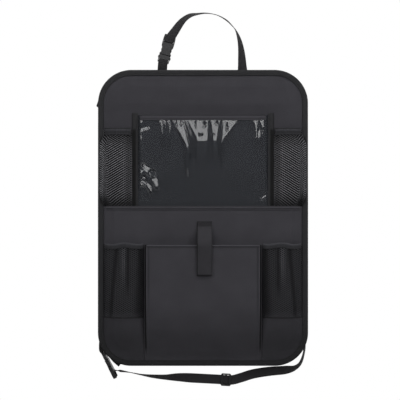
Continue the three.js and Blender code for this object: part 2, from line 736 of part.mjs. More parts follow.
// A band's middle line as [y, z] places in a buckle's frame, given the webbing's width and thickness
function foldedBand(line) {
  const shape = new THREE.Shape(clothSection(line.map(([y, z]) => new THREE.Vector2(y, z)), STRAP));
  const geometry = new THREE.ExtrudeGeometry(shape, { depth: STRAP_WIDTH, bevelEnabled: false });
  geometry.translate(0, 0, -STRAP_WIDTH / 2);
  return geometry.applyMatrix4(new THREE.Matrix4().makeBasis(at(0, 1, 0), at(0, 0, 1), at(1, 0, 0)));
}

// Solids for cutting and joining

function solid(geometry) {
  const plain = new THREE.BufferGeometry();
  plain.setAttribute('position', geometry.getAttribute('position').clone());
  if (geometry.index) plain.setIndex(geometry.index.clone());
  const merged = mergeVertices(plain, 1e-4);
  return new wasm.Manifold(new wasm.Mesh({
    numProp: 3,
    vertProperties: new Float32Array(merged.getAttribute('position').array),
    triVerts: new Uint32Array(merged.index.array),
  }));
}
function geometryOf(manifold) {
  const mesh = manifold.getMesh();
  const geometry = new THREE.BufferGeometry();
  geometry.setAttribute('position', new THREE.BufferAttribute(mesh.vertProperties.slice(), 3));
  geometry.setIndex(new THREE.BufferAttribute(mesh.triVerts.slice(), 1));
  geometry.computeVertexNormals();
  return geometry;
}
const cut = (body, ...tools) => tools.reduce((left, tool) => left.subtract(solid(tool)), body);
const join = (body, ...more) => more.reduce((left, piece) => left.add(solid(piece)), body);

// A moulded plate: an outline in x and z, thickness across y, with rounded edges
function plate(points, thickness, bevel) {
  const shape = new THREE.Shape(points.map(([x, z]) => new THREE.Vector2(x, z)));
  const geometry = new THREE.ExtrudeGeometry(shape, {
    depth: thickness - 2 * bevel,
    bevelEnabled: true,
    bevelSize: bevel,
    bevelThickness: bevel,
    bevelOffset: -bevel,
    bevelSegments: 2,
  });
  geometry.translate(0, 0, -(thickness / 2 - bevel));
  return geometry.rotateX(Math.PI / 2);
}
const mirrored = (half) => [...half, ...half.map(([x, z]) => [-x, z]).reverse()];
const FAR = 60;
const bothFaces = (half, from, low, high) => [
  box(-half, half, from, FAR, low, high),
  box(-half, half, -FAR, -from, low, high),
];

// Side-release buckle in its own frame: z along the strap, x across it, the socket's mouth at z 0

const SLOT_HALF = STRAP_WIDTH / 2 + 2 * FIT;
const MOUTH_HALF = SLOT_HALF + 1.6;
const WAIST_HALF = SLOT_HALF - 1.2;
const BODY_HALF = SLOT_HALF + 2.2;
const CAVITY_HALF = MOUTH_HALF - BUCKLE_WALL;
const CAVITY_THICK = BUCKLE_THICKNESS - 2 * BUCKLE_WALL;
const SOCKET_BAR = SOCKET_SLOT + SLOT_HEIGHT;
const PLUG_BAR = -PLUG_LENGTH + BAR;
const PLUG_THICKNESS = BUCKLE_THICKNESS - 1.4;

function socketGeometry() {
  const outer = plate(mirrored([
    [MOUTH_HALF, 0], [MOUTH_HALF, 3], [WAIST_HALF + 0.6, 6.5], [WAIST_HALF, 10], [WAIST_HALF + 0.8, 14],
    [BODY_HALF - 0.3, 19], [BODY_HALF, 24], [BODY_HALF - 0.2, 36], [BODY_HALF - 1, SOCKET_LENGTH - 1],
    [BODY_HALF - 2.5, SOCKET_LENGTH],
  ]), BUCKLE_THICKNESS, 1.6);
  const half = CAVITY_THICK / 2;
  const open = WAIST_HALF - 2.2;
  return geometryOf(cut(
    solid(outer),
    box(-CAVITY_HALF, CAVITY_HALF, -half, half, -5, WINDOW_HIGH),
    box(-open, open, -half, half, -5, CAVITY_DEPTH),
    box(open, FAR, -half, half, WINDOW_LOW, WINDOW_HIGH),
    box(-FAR, -open, -half, half, WINDOW_LOW, WINDOW_HIGH),
    box(-SLOT_HALF, SLOT_HALF, -FAR, FAR, SOCKET_SLOT, SOCKET_BAR),
    ...bothFaces(SLOT_HALF, BAR / 2, SOCKET_SLOT, FAR),
  ));
}

// The plug's two arms spring inwards to pass the mouth, with a guide between them
function plugGeometry() {
  const base = plate(mirrored([
    [MOUTH_HALF - 1, -FIT], [MOUTH_HALF + 1.2, -4], [MOUTH_HALF + 1.4, -6], [MOUTH_HALF, -9],
    [MOUTH_HALF - 0.4, -PLUG_LENGTH],
  ]), PLUG_THICKNESS, 1.2);
  const armThick = CAVITY_THICK - 2 * FIT;
  const arms = [1, -1].map((sign) => plate([
    [WAIST_HALF - 3.6, -2], [WAIST_HALF - 0.4, -2], [WAIST_HALF - 0.2, 4], [WAIST_HALF + 0.9, 7.2],
    [WAIST_HALF + 1.9, 11], [WAIST_HALF + 1.1, 14.6], [WAIST_HALF - 1, WINDOW_HIGH - 0.4],
    [WAIST_HALF - 2.8, WINDOW_HIGH - 0.4], [WAIST_HALF - 3, 12],
  ].map(([x, z]) => [sign * x, z]), armThick, 0.7));
  const guideEnd = CAVITY_DEPTH - 3;
  const guide = plate([[-2.4, -2], [2.4, -2], [1.8, guideEnd], [-1.8, guideEnd]], armThick, 0.6);
  const slotTop = PLUG_BAR + SLOT_HEIGHT;
  return geometryOf(cut(
    join(solid(base), ...arms, guide),
    box(-SLOT_HALF, SLOT_HALF, -FAR, FAR, PLUG_BAR, slotTop),
    ...bothFaces(SLOT_HALF, BAR / 2, -FAR, slotTop),
  ));
}

// A buckle's frame: the mouth's place, the way to the socket's strap, and the turn about that way
function frameAt(place, way, turn) {
  const along = at(...way).normalize();
  const across = new THREE.Vector3().crossVectors(at(0, 1, 0), along).normalize();
  across.applyAxisAngle(along, THREE.MathUtils.degToRad(turn));
  const through = new THREE.Vector3().crossVectors(along, across);
  const frame = new THREE.Group();
  frame.position.set(...place);
  frame.quaternion.setFromRotationMatrix(new THREE.Matrix4().makeBasis(across, through, along));
  frame.updateMatrixWorld();
  organizer.add(frame);
  return frame;
}
const inFrame = (frame, geometry) => geometry.applyMatrix4(frame.matrixWorld);
const keyIn = (frame, y, z, turn) => [...frame.localToWorld(at(0, y, z)).toArray(), turn];

// The band's fold round a bar: up one face, over the bar's edge, down the other
const LEG = BAR / 2 + FIT + STRAP / 2;
const OVER = FIT + STRAP / 2;
function bandOverBar(barEdge, towards, first, last) {
  const turnZ = barEdge - towards * OVER;
  const ease = 0.5;
  return foldedBand([
    [first[0], first[1]],
    [first[0], turnZ + towards * ease],
    [first[0] - Math.sign(first[0]) * ease, turnZ],
    [last[0] - Math.sign(last[0]) * ease, turnZ],
    [last[0], turnZ + towards * ease],
    [last[0], last[1]],
  ]);
}

const BACK_LAY = GAP + STRAP / 2;
const SEWN_LOW = HALF_HEIGHT - STRAP_SEWN;

// Top strap: a short band carries the plug, a long one comes over from the right to the socket
const topFrame = frameAt([4.2 - TOP_FOOT_X, 0, HALF_HEIGHT + 31], [0.268, 0, 0.963], 0);
addPiece('top_buckle_socket', socketGeometry(), plasticBlack, topFrame);
addPiece('top_buckle_plug', plugGeometry(), plasticBlack, topFrame);
addPiece('top_strap_short', geometryOf(join(
  solid(webbing([
    [-TOP_FOOT_X - 1, BACK_LAY, SEWN_LOW, 0],
    [-TOP_FOOT_X - 1, BACK_LAY, HALF_HEIGHT - 14, 0],
    [-TOP_FOOT_X - 2, BACK_LAY - 0.4, HALF_HEIGHT - 2, 0],
    keyIn(topFrame, -LEG, -PLUG_LENGTH - 8, 0),
    keyIn(topFrame, -LEG, -PLUG_LENGTH - 1, 0),
  ], 16)),
  inFrame(topFrame, bandOverBar(PLUG_BAR, -1, [-LEG, -PLUG_LENGTH - 2], [LEG, -PLUG_LENGTH - 9])),
)), webbingBlack);

// The loop's places as shares of its half width and of its height above the panel
const topLoop = [
  [0.973, 1.6, 0.083, 8],
  [0.957, 2.2, 0.2, 25],
  [0.936, 2.6, 0.383, 52],
  [0.888, 3, 0.55, 72],
  [0.798, 3, 0.704, 84],
  [0.6, 3, 0.87, 88],
  [0.35, 3, 0.967, 88],
  [0.07, 3, 1.0, 86],
  [-0.214, 3, 0.98, 76],
  [-0.437, 2, 0.917, 42],
  [-0.601, 0.6, 0.817, 14],
  [-0.708, -1.2, 0.717, 2],
].map(([u, y, rise, turn]) => [u * TOP_FOOT_X, y, HALF_HEIGHT + rise * TOP_LOOP_HEIGHT, turn]);
addPiece('top_strap_long', geometryOf(join(
  solid(webbing([
    [TOP_FOOT_X - 2, BACK_LAY, SEWN_LOW, 0],
    [TOP_FOOT_X - 2, BACK_LAY, HALF_HEIGHT - 10, 0],
    ...topLoop,
    keyIn(topFrame, -LEG, SOCKET_LENGTH + 5, 0),
    keyIn(topFrame, -LEG, SOCKET_LENGTH - 3, 0),
  ], 50)),
  inFrame(topFrame, bandOverBar(SOCKET_BAR, 1, [-LEG, SOCKET_LENGTH - 2], [LEG, SOCKET_LENGTH + 9])),
)), webbingBlack);

// Bottom strap: a short band at the left carries the plug, edge-on, and a long one runs under the panel
const bottomMouth = [BUCKLE_INSET - HALF_WIDTH, 8, BUCKLE_RISE - HALF_HEIGHT];
const bottomFrame = frameAt(bottomMouth, [0.447, 0, -0.894], 90);
// Where a band comes round the side of the panel from its foot, sewn on the back, from the seam down
const roundTheSide = (sign) => [
  [18, BACK_LAY, 105, 0],
  [17, BACK_LAY, 80, 0],
  [14, 3.6, 67, 13],
  [9.5, 7, 54, 46],
  [6, 8.6, 43, 73],
].map(([inset, y, rise, turn]) => [sign * (HALF_WIDTH - inset), y, rise - HALF_HEIGHT, turn]);
addPiece('bottom_buckle_socket', socketGeometry(), plasticBlack, bottomFrame);
addPiece('bottom_buckle_plug', plugGeometry(), plasticBlack, bottomFrame);
addPiece('bottom_strap_short', geometryOf(join(
  solid(webbing([
    keyIn(bottomFrame, -LEG, -PLUG_LENGTH - 1, 90),
    keyIn(bottomFrame, -LEG, -PLUG_LENGTH - 7, 90),
    ...roundTheSide(-1).reverse(),
  ], 24)),
  inFrame(bottomFrame, bandOverBar(PLUG_BAR, -1, [-LEG, -PLUG_LENGTH - 2], [LEG, -PLUG_LENGTH - 9])),
)), webbingBlack);

// Places of the long band as shares of the panel's half width, with how far they hang below it.
// The slider rides on the straight stretch between the first and the last place of the slide.
const hanging = ([u, y, drop, turn]) => [u * HALF_WIDTH, y, -HALF_HEIGHT - drop, turn];
const SLIDE_FROM = at(SLIDE_RIGHT, 4, -HALF_HEIGHT - SLIDE_RIGHT_DROP);
const SLIDE_TO = at(SLIDE_LEFT, 4, -HALF_HEIGHT - SLIDE_LEFT_DROP);
const onSlide = (x) => {
  const t = (x - SLIDE_FROM.x) / (SLIDE_TO.x - SLIDE_FROM.x);
  return SLIDE_FROM.clone().lerp(SLIDE_TO, t).toArray();
};
const fromSocket = [
  [-0.791, 8, 12.5, 89],
  [-0.695, 7, 16, 82],
  [-0.591, 6, 20.4, 72],
  [-0.491, 5, 23, 58],
  [-0.352, 4, 24.6, 36],
].map(hanging);
const toTheSide = [
  [0.364, 4.4, 26.4, 0],
  [0.473, 5, 19, 0],
  [0.636, 6, 13.4, 6],
  [0.79, 7, 10.6, 20],
  [0.873, 8, 7, 48],
  [0.927, 8.6, -2, 62],
  [0.964, 9, -23, 72],
].map(hanging);
addPiece('bottom_strap_long', geometryOf(join(
  solid(webbing([
    keyIn(bottomFrame, LEG - 1.5, SOCKET_BAR - OVER, 90),
    keyIn(bottomFrame, LEG + 3, SOCKET_BAR - OVER + 0.4, 90),
    ...fromSocket,
    [...onSlide(SLIDE_LEFT), 12],
    ...[0.25, 0.5, 0.75, 1].map((t) => [...onSlide(lerp(SLIDE_LEFT, SLIDE_RIGHT, t)), 0]),
    ...toTheSide,
    ...roundTheSide(1).reverse(),
  ], 76)),
  inFrame(bottomFrame, foldedBand([
    [LEG - 0.5, SOCKET_BAR - OVER],
    [-LEG + 0.5, SOCKET_BAR - OVER],
    [-LEG, SOCKET_BAR - OVER + 0.5],
    [-LEG, SOCKET_LENGTH - 1],
  ])),
)), webbingBlack);

// Three-bar slider: the outer bars in front of the band, the middle bar behind it
const SLIDER_HALF_WIDTH = SLOT_HALF + 2.4;
function sliderGeometry() {
  const frame = plate(mirrored([
    [SLIDER_HALF_WIDTH - 2, -SLIDER_HALF_LENGTH],
    [SLIDER_HALF_WIDTH, -SLIDER_HALF_LENGTH + 2],
    [SLIDER_HALF_WIDTH, SLIDER_HALF_LENGTH - 2],
    [SLIDER_HALF_WIDTH - 2, SLIDER_HALF_LENGTH],
  ]), SLIDER_THICKNESS, 1);
  const lay = STRAP / 2 + FIT;
  return geometryOf(cut(
    solid(frame),
    box(-SLOT_HALF, SLOT_HALF, -FAR, FAR, SLIDER_MIDDLE_BAR, SLIDER_OUTER_BAR),
    box(-SLOT_HALF, SLOT_HALF, -FAR, FAR, -SLIDER_OUTER_BAR, -SLIDER_MIDDLE_BAR),
    box(-SLOT_HALF, SLOT_HALF, -FAR, lay, -SLIDER_MIDDLE_BAR - 1, SLIDER_MIDDLE_BAR + 1),
    box(-SLOT_HALF, SLOT_HALF, -lay, FAR, SLIDER_OUTER_BAR - 1, FAR),
    box(-SLOT_HALF, SLOT_HALF, -lay, FAR, -FAR, -SLIDER_OUTER_BAR + 1),
  ));
}
const slideWay = SLIDE_TO.clone().sub(SLIDE_FROM).normalize();
const sliderFrame = frameAt(onSlide(SLIDER_X), slideWay.toArray(), 0);
addPiece('strap_slider', sliderGeometry(), plasticBlack, sliderFrame);

export default organizer;
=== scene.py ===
# %% [markdown]
# # A car seat back organizer
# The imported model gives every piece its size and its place. This script dresses it for a studio picture:
# cloth, net, clear film, elastic, webbing and moulded plastic. Units are metres and the front faces -Y.

# %% Load the frame
import math
import random

import bmesh
import bpy
from mathutils import Matrix, Vector


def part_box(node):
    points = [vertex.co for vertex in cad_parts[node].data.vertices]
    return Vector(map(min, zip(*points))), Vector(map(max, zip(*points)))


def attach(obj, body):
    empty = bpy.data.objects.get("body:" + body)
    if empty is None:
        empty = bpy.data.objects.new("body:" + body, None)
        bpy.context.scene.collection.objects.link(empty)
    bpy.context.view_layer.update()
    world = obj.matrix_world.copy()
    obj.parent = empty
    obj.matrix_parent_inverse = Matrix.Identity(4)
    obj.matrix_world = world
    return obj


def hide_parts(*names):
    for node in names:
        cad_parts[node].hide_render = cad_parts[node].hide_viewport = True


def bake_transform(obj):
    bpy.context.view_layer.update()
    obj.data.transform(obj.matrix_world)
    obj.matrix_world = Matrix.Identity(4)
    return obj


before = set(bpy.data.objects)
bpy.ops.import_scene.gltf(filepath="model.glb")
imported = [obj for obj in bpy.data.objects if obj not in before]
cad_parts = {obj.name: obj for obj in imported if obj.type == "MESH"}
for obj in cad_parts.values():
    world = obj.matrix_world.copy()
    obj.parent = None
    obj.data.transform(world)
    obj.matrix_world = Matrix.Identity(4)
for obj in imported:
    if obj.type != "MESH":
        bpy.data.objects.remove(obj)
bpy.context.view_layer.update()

# %% [markdown]
# ## The camera
# A product picture is taken square on with a long lens, so that the panel's sides stay parallel. The panel's
# centre and the size of a pixel at the panel's front set how far away the camera stands.

# %% Camera
MM = 0.001
PICTURE_PIXELS = 400
PIXEL = 2.095 * MM
PANEL_CENTRE_PIXEL = (203.0, 217.8)
LENS = 100.0
SENSOR = 36.0


def pixel_x(px):
    return (px - PANEL_CENTRE_PIXEL[0]) * PIXEL


def pixel_z(py):
    return (PANEL_CENTRE_PIXEL[1] - py) * PIXEL


def add_camera():
    data = bpy.data.cameras.new("camera")
    data.lens = LENS
    data.sensor_width = SENSOR
    camera = bpy.data.objects.new("camera", data)
    bpy.context.scene.collection.objects.link(camera)
    middle = PICTURE_PIXELS / 2
    away = middle * PIXEL / (SENSOR / 2 / LENS)
    camera.location = (pixel_x(middle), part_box("front_panel")[0].y - away, pixel_z(middle))
    camera.rotation_euler = (math.radians(90), 0, 0)
    bpy.context.scene.camera = camera
    print("camera", round(away, 3), "m in front of the panel")


add_camera()
bpy.context.scene.view_settings.view_transform = "Standard"

# %% [markdown]
# ## Light
# Black cloth on white needs big soft lamps: one at each side, so that the pleats between the pockets fall dark,
# and one above, which brightens what leans back and leaves the foot of the panel dimmer; painted shade in the
# cloth's colour darkens the pleats and the foot further. A long narrow lamp just over the camera is there for the
# clear film, which shows it in every crease that tilts up.

# %% Lamps, world and floor


def area_lamp(name, place, width, height, power):
    data = bpy.data.lights.new(name, "AREA")
    data.shape = "RECTANGLE"
    data.size = width
    data.size_y = height
    data.energy = power
    lamp = bpy.data.objects.new(name, data)
    lamp.location = place
    towards = Vector((0, 0, 0.08)) - Vector(place)
    lamp.rotation_euler = towards.to_track_quat("-Z", "Y").to_euler()
    bpy.context.scene.collection.objects.link(lamp)


area_lamp("lamp_left", (-1.3, -1.15, 1.2), 0.8, 1.2, 7)
area_lamp("lamp_right", (1.3, -1.15, 1.2), 0.8, 1.2, 11)
area_lamp("lamp_above", (0, -0.75, 1.5), 1.6, 0.6, 9)
area_lamp("lamp_front", (0, -2.3, 0.95), 2.2, 0.5, 13)

SURROUNDINGS = 0.06


def light_world():
    """White where the camera or clear film looks through, and behind the panel for glossy rays; dim elsewhere."""
    world = bpy.data.worlds.new("studio")
    bpy.context.scene.world = world
    world.use_nodes = True
    nodes = world.node_tree.nodes
    links = world.node_tree.links
    nodes.clear()
    path = nodes.new("ShaderNodeLightPath")
    direction = nodes.new("ShaderNodeTexCoord")
    parts = nodes.new("ShaderNodeSeparateXYZ")
    links.new(direction.outputs["Generated"], parts.inputs[0])

    def math_node(operation, first, second):
        node = nodes.new("ShaderNodeMath")
        node.operation = operation
        for socket, value in zip(node.inputs, (first, second)):
            if isinstance(value, float):
                socket.default_value = value
            else:
                links.new(value, socket)
        return node.outputs[0]

    behind = math_node("GREATER_THAN", parts.outputs["Y"], 0.25)
    glossy = math_node("MULTIPLY", path.outputs["Is Glossy Ray"], behind)
    through = math_node("MAXIMUM", path.outputs["Is Camera Ray"], path.outputs["Is Transmission Ray"])
    seen = nodes.new("ShaderNodeBackground")
    around = nodes.new("ShaderNodeBackground")
    around.inputs["Color"].default_value = (SURROUNDINGS, SURROUNDINGS, SURROUNDINGS, 1)
    seen.inputs["Color"].default_value = (1, 1, 1, 1)
    mix_shader = nodes.new("ShaderNodeMixShader")
    links.new(math_node("MAXIMUM", through, glossy), mix_shader.inputs["Fac"])
    links.new(around.outputs[0], mix_shader.inputs[1])
    links.new(seen.outputs[0], mix_shader.inputs[2])
    out = nodes.new("ShaderNodeOutputWorld")
    links.new(mix_shader.outputs[0], out.inputs["Surface"])


light_world()


def add_floor():
    bm = bmesh.new()
    bmesh.ops.create_circle(bm, cap_ends=True, segments=64, radius=1.8)
    bmesh.ops.translate(bm, verts=bm.verts, vec=(0, 0, -0.75))
    mesh = bpy.data.meshes.new("floor")
    bm.to_mesh(mesh)
    bm.free()
    floor = bpy.data.objects.new("floor", mesh)
    bpy.context.scene.collection.objects.link(floor)
    material = bpy.data.materials.new("pale_floor")
    material.use_nodes = True
    material.node_tree.nodes["Principled BSDF"].inputs["Base Color"].default_value = (0.8, 0.8, 0.8, 1)
    material.node_tree.nodes["Principled BSDF"].inputs["Roughness"].default_value = 0.9
    mesh.materials.append(material)


add_floor()

# %% [markdown]
# ## Where things are
# The panel is a rounded rectangle, and every pocket is cut to it. A few rules give the rim, the depth of each
# layer and the bulge of each pocket, so that each dressed piece lies exactly on the solid it stands for. The rules
# work in millimetres, because that is how a sewing pattern is written; at() turns a place into metres.

# %% Rules for the panel's outline and layers


def at(x, y, z):
    return Vector((x * MM, y * MM, z * MM))


def node_box(node):
    low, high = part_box(node)
    return low / MM, high / MM


def mix(a, b, t):
    return a + (b - a) * t


def clamp(value, low=0.0, high=1.0):
    return max(low, min(high, value))


def smooth(value, low, high):
    t = clamp((value - low) / (high - low))
    return t * t * (3 - 2 * t)


def bump_between(value, low, high, power=1.0):
    """0 at both ends of a span and 1 in its middle."""
    return math.sin(math.pi * clamp((value - low) / (high - low))) ** power


binding_low, binding_high = node_box("edge_binding")
HALF_WIDTH = binding_high.x
HALF_HEIGHT = binding_high.z
CORNER_RADIUS = 70
CORNER_X = HALF_WIDTH - CORNER_RADIUS
CORNER_Z = HALF_HEIGHT - CORNER_RADIUS
BINDING_WIDTH = 12
RIM_INSET = 2
BINDING_EDGE = BINDING_WIDTH + 1
CLOTH = 1.0
TAPE = 0.9
GAP = 0.3
LAYER_GAP = 0.5
PANEL_FRONT = node_box("front_panel")[0].y
FIRST_CLOTH = node_box("wide_pocket")[1].y - CLOTH
SECOND_CLOTH = FIRST_CLOTH - LAYER_GAP - CLOTH
WIDE_DEPTH = FIRST_CLOTH - node_box("wide_pocket")[0].y
WIDE_TOP = node_box("wide_pocket_hem")[1].z
OPEN_FOOT = BINDING_EDGE - HALF_HEIGHT
SEWN_FOOT = RIM_INSET - HALF_HEIGHT
UPPER_TOP = node_box("upper_elastic_left")[1].z
print("panel", 2 * HALF_WIDTH, "x", 2 * HALF_HEIGHT, "mm; its front face is at y", round(PANEL_FRONT, 2))


def edge_x(z, inset):
    """Half the panel's width at a height, less an inset."""
    past = max(0.0, abs(z) - CORNER_Z)
    radius = CORNER_RADIUS - inset
    return CORNER_X + math.sqrt(max(0.0, radius ** 2 - past ** 2))


def binding_front(z):
    """The binding's front face stands further forward where it holds the edges of one pocket, then of two."""
    one = 1 - smooth(z, UPPER_TOP + 2, UPPER_TOP + 25)
    two = 1 - smooth(z, WIDE_TOP + 10, WIDE_TOP + 60)
    bare = PANEL_FRONT - GAP - TAPE
    single = FIRST_CLOTH - GAP - TAPE
    double = SECOND_CLOTH - GAP - TAPE
    return bare + (single - bare) * one + (double - single) * two


def wide_rise(z):
    return WIDE_DEPTH * smooth(z, OPEN_FOOT, OPEN_FOOT + 70)


KINK_INSET = 34


def wide_front(x, z):
    """Front of the wide pocket: it rises from the rim to a kink, and is flat between the kinks."""
    kink = edge_x(z, KINK_INSET)
    opened = max(edge_x(z, BINDING_EDGE), kink + 1)
    share = clamp((opened - abs(x)) / (opened - kink))
    return FIRST_CLOTH - wide_rise(z) * share


# %% [markdown]
# ## A sheet of cloth
# Cloth is a grid of squares. The grid is made flat, each corner is moved to where a rule puts it, and a Solidify
# modifier gives the cloth its thickness on the hidden side. While a corner is moved its place on the flat cloth is
# kept as a UV map in millimetres, so a weave follows the cloth through every fold instead of sliding over it.
# Where shade falls, behind a net or down a pleat, the corner also keeps a number that the material reads to paint
# that shade into the colour; a negative number paints a highlight instead.

# %% Helpers that make cloth


def finish_object(name, bm, material, wall=0.0, body="organizer"):
    mesh = bpy.data.meshes.new(name)
    bm.to_mesh(mesh)
    bm.free()
    mesh.polygons.foreach_set("use_smooth", [True] * len(mesh.polygons))
    mesh.materials.append(material)
    piece = bpy.data.objects.new(name, mesh)
    bpy.context.scene.collection.objects.link(piece)
    if wall:
        shell = piece.modifiers.new("thickness", "SOLIDIFY")
        shell.thickness = wall * MM
        shell.offset = -1
    if body:
        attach(piece, body)
    return piece


def cloth_grid(columns, rows, place, lay=None, dim=None):
    """A grid moved by place(u, v), with its flat place lay(u, v) kept as UVs. Both give millimetres.

    dim(x, z, v) says how much painted shade a place gets, from 1 deep in a fold or behind a net, to -1 for a painted
    highlight on a crest."""
    bm = bmesh.new()
    bmesh.ops.create_grid(bm, x_segments=columns, y_segments=rows, size=0.5)
    layer = bm.loops.layers.uv.new("cloth")
    shade = bm.verts.layers.float.new("fold") if dim else None
    flat = {}
    for vert in bm.verts:
        u, v = vert.co.x + 0.5, vert.co.y + 0.5
        x, y, z = place(u, v)
        flat[vert] = lay(u, v) if lay else (x, z)
        vert.co = at(x, y, z)
        if dim:
            vert[shade] = dim(x, z, v)
    for face in bm.faces:
        for loop in face.loops:
            loop[layer].uv = flat[loop.vert]
    return bm


def mirror_place(place):
    """The same rule for the left-hand piece: x changes sign and u runs the other way, so faces still point out."""
    def mirrored(u, v):
        x, y, z = place(1 - u, v)
        return -x, y, z
    return mirrored


def side_place(side, place):
    return place if side == "right" else mirror_place(place)


SIDES = ("left", "right")

# %% [markdown]
# ## Cloth, net and thread as materials
# Seen close, black cloth is thousands of round threads passing over and under each other. One node group makes that
# plain weave from two rows of ridges and a chessboard that says which thread is on top. It gives a height for the
# bump and a tone, and each cloth sets its own thread size and strength.

# %% Node groups


def srgb(red, green, blue):
    """A colour as a picture editor shows it, 0 to 255, as the linear colour that Blender wants."""
    def linear(value):
        value /= 255
        return value / 12.92 if value <= 0.04045 else ((value + 0.055) / 1.055) ** 2.4
    return (linear(red), linear(green), linear(blue), 1)


class Wires:
    """Adds math nodes to a node tree and links them, so that a formula reads like one."""

    def __init__(self, tree):
        self.tree = tree
        self.nodes = tree.nodes
        self.links = tree.links

    def feed(self, socket, value):
        if isinstance(value, (int, float)):
            socket.default_value = value
        else:
            self.links.new(value, socket)

    def math(self, operation, *values):
        node = self.nodes.new("ShaderNodeMath")
        node.operation = operation
        for socket, value in zip(node.inputs, values):
            self.feed(socket, value)
        return node.outputs[0]

    def noise(self, vector, scale, detail=2.0):
        node = self.nodes.new("ShaderNodeTexNoise")
        node.inputs["Scale"].default_value = scale
        node.inputs["Detail"].default_value = detail
        self.links.new(vector, node.inputs["Vector"])
        return node.outputs["Fac"]


def new_group(name, inputs, outputs):
    group = bpy.data.node_groups.new(name, "ShaderNodeTree")
    for socket, kind, value in inputs:
        made = group.interface.new_socket(socket, in_out="INPUT", socket_type=kind)
        if kind == "NodeSocketFloat":
            made.default_value = value
    for socket in outputs:
        group.interface.new_socket(socket, in_out="OUTPUT", socket_type="NodeSocketFloat")
    wires = Wires(group)
    entry = group.nodes.new("NodeGroupInput").outputs
    leave = group.nodes.new("NodeGroupOutput").inputs
    return group, wires, entry, leave


def weave_group():
    """Plain weave. Vector is in millimetres, Thread is a thread's width in millimetres."""
    group, w, entry, leave = new_group(
        "plain_weave",
        [("Vector", "NodeSocketVector", None), ("Thread", "NodeSocketFloat", 0.5)],
        ["Height", "Tone"])
    parts = group.nodes.new("ShaderNodeSeparateXYZ")
    group.links.new(entry["Vector"], parts.inputs[0])
    waves = []
    for axis in ("X", "Y"):
        turns = w.math("DIVIDE", parts.outputs[axis], entry["Thread"])
        waves.append(w.math("SINE", w.math("MULTIPLY", turns, math.pi)))
    over = w.math("GREATER_THAN", w.math("MULTIPLY", waves[0], waves[1]), 0)
    ridges = [w.math("ABSOLUTE", wave) for wave in waves]
    warp = w.math("MULTIPLY", ridges[0], over)
    weft = w.math("MULTIPLY", ridges[1], w.math("SUBTRACT", 1, over))
    height = w.math("ADD", warp, weft)
    slub = w.noise(entry["Vector"], 1.2, 3)
    group.links.new(w.math("MULTIPLY", height, w.math("ADD", slub, 0.5)), leave["Height"])
    cloud = w.noise(entry["Vector"], 0.018, 4)
    tone = w.math("ADD", w.math("MULTIPLY", height, 0.3), w.math("MULTIPLY", cloud, 0.6))
    group.links.new(w.math("ADD", tone, w.math("MULTIPLY", slub, 0.35)), leave["Tone"])
    return group


def ribs_group():
    """Ribs across a band, each bent to a chevron. Vector is in millimetres: x across the band, y along it."""
    group, w, entry, leave = new_group(
        "ribbed_band",
        [("Vector", "NodeSocketVector", None), ("Rib", "NodeSocketFloat", 1.2),
         ("Chevron", "NodeSocketFloat", 5.0), ("Lean", "NodeSocketFloat", 1.0)],
        ["Height", "Tone"])
    parts = group.nodes.new("ShaderNodeSeparateXYZ")
    group.links.new(entry["Vector"], parts.inputs[0])
    bend = w.math("PINGPONG", parts.outputs["X"], entry["Chevron"])
    along = w.math("ADD", parts.outputs["Y"], w.math("MULTIPLY", bend, entry["Lean"]))
    turns = w.math("MULTIPLY", w.math("DIVIDE", along, entry["Rib"]), math.pi)
    rib = w.math("ABSOLUTE", w.math("SINE", turns))
    strand = w.math("ABSOLUTE", w.math("SINE", w.math("MULTIPLY", parts.outputs["X"], math.pi / 0.55)))
    height = w.math("ADD", w.math("MULTIPLY", rib, 0.8), w.math("MULTIPLY", strand, 0.3))
    fuzz = w.noise(entry["Vector"], 1.6, 3)
    group.links.new(w.math("ADD", height, w.math("MULTIPLY", fuzz, 0.4)), leave["Height"])
    tone = w.math("ADD", w.math("MULTIPLY", rib, 0.35), w.math("MULTIPLY", fuzz, 0.7))
    group.links.new(w.math("ADD", tone, 0.1), leave["Tone"])
    return group


def grain_group():
    """Moulded plastic: a fine spark-eroded grain, with larger rubbed patches. Vector is in metres."""
    group, w, entry, leave = new_group(
        "moulded_grain",
        [("Vector", "NodeSocketVector", None), ("Grain", "NodeSocketFloat", 2600.0)],
        ["Height", "Tone"])
    grain = group.nodes.new("ShaderNodeTexNoise")
    grain.inputs["Detail"].default_value = 3
    group.links.new(entry["Vector"], grain.inputs["Vector"])
    group.links.new(entry["Grain"], grain.inputs["Scale"])
    group.links.new(grain.outputs["Fac"], leave["Height"])
    group.links.new(w.noise(entry["Vector"], 160, 4), leave["Tone"])
    return group


WEAVE = weave_group()
RIBS = ribs_group()
GRAIN = grain_group()

# %% [markdown]
# A material then puts the group between the cloth's UV map and the shader: the tone brightens and darkens the
# colour a little, the same tone makes the crowns of the threads smoother than the valleys, and the height drives a
# bump of a tenth of a millimetre or so. Sheen, which is the pale edge that fluffy cloth shows, is the same all
# over, so it is set on the shader itself.

# %% Cloth materials


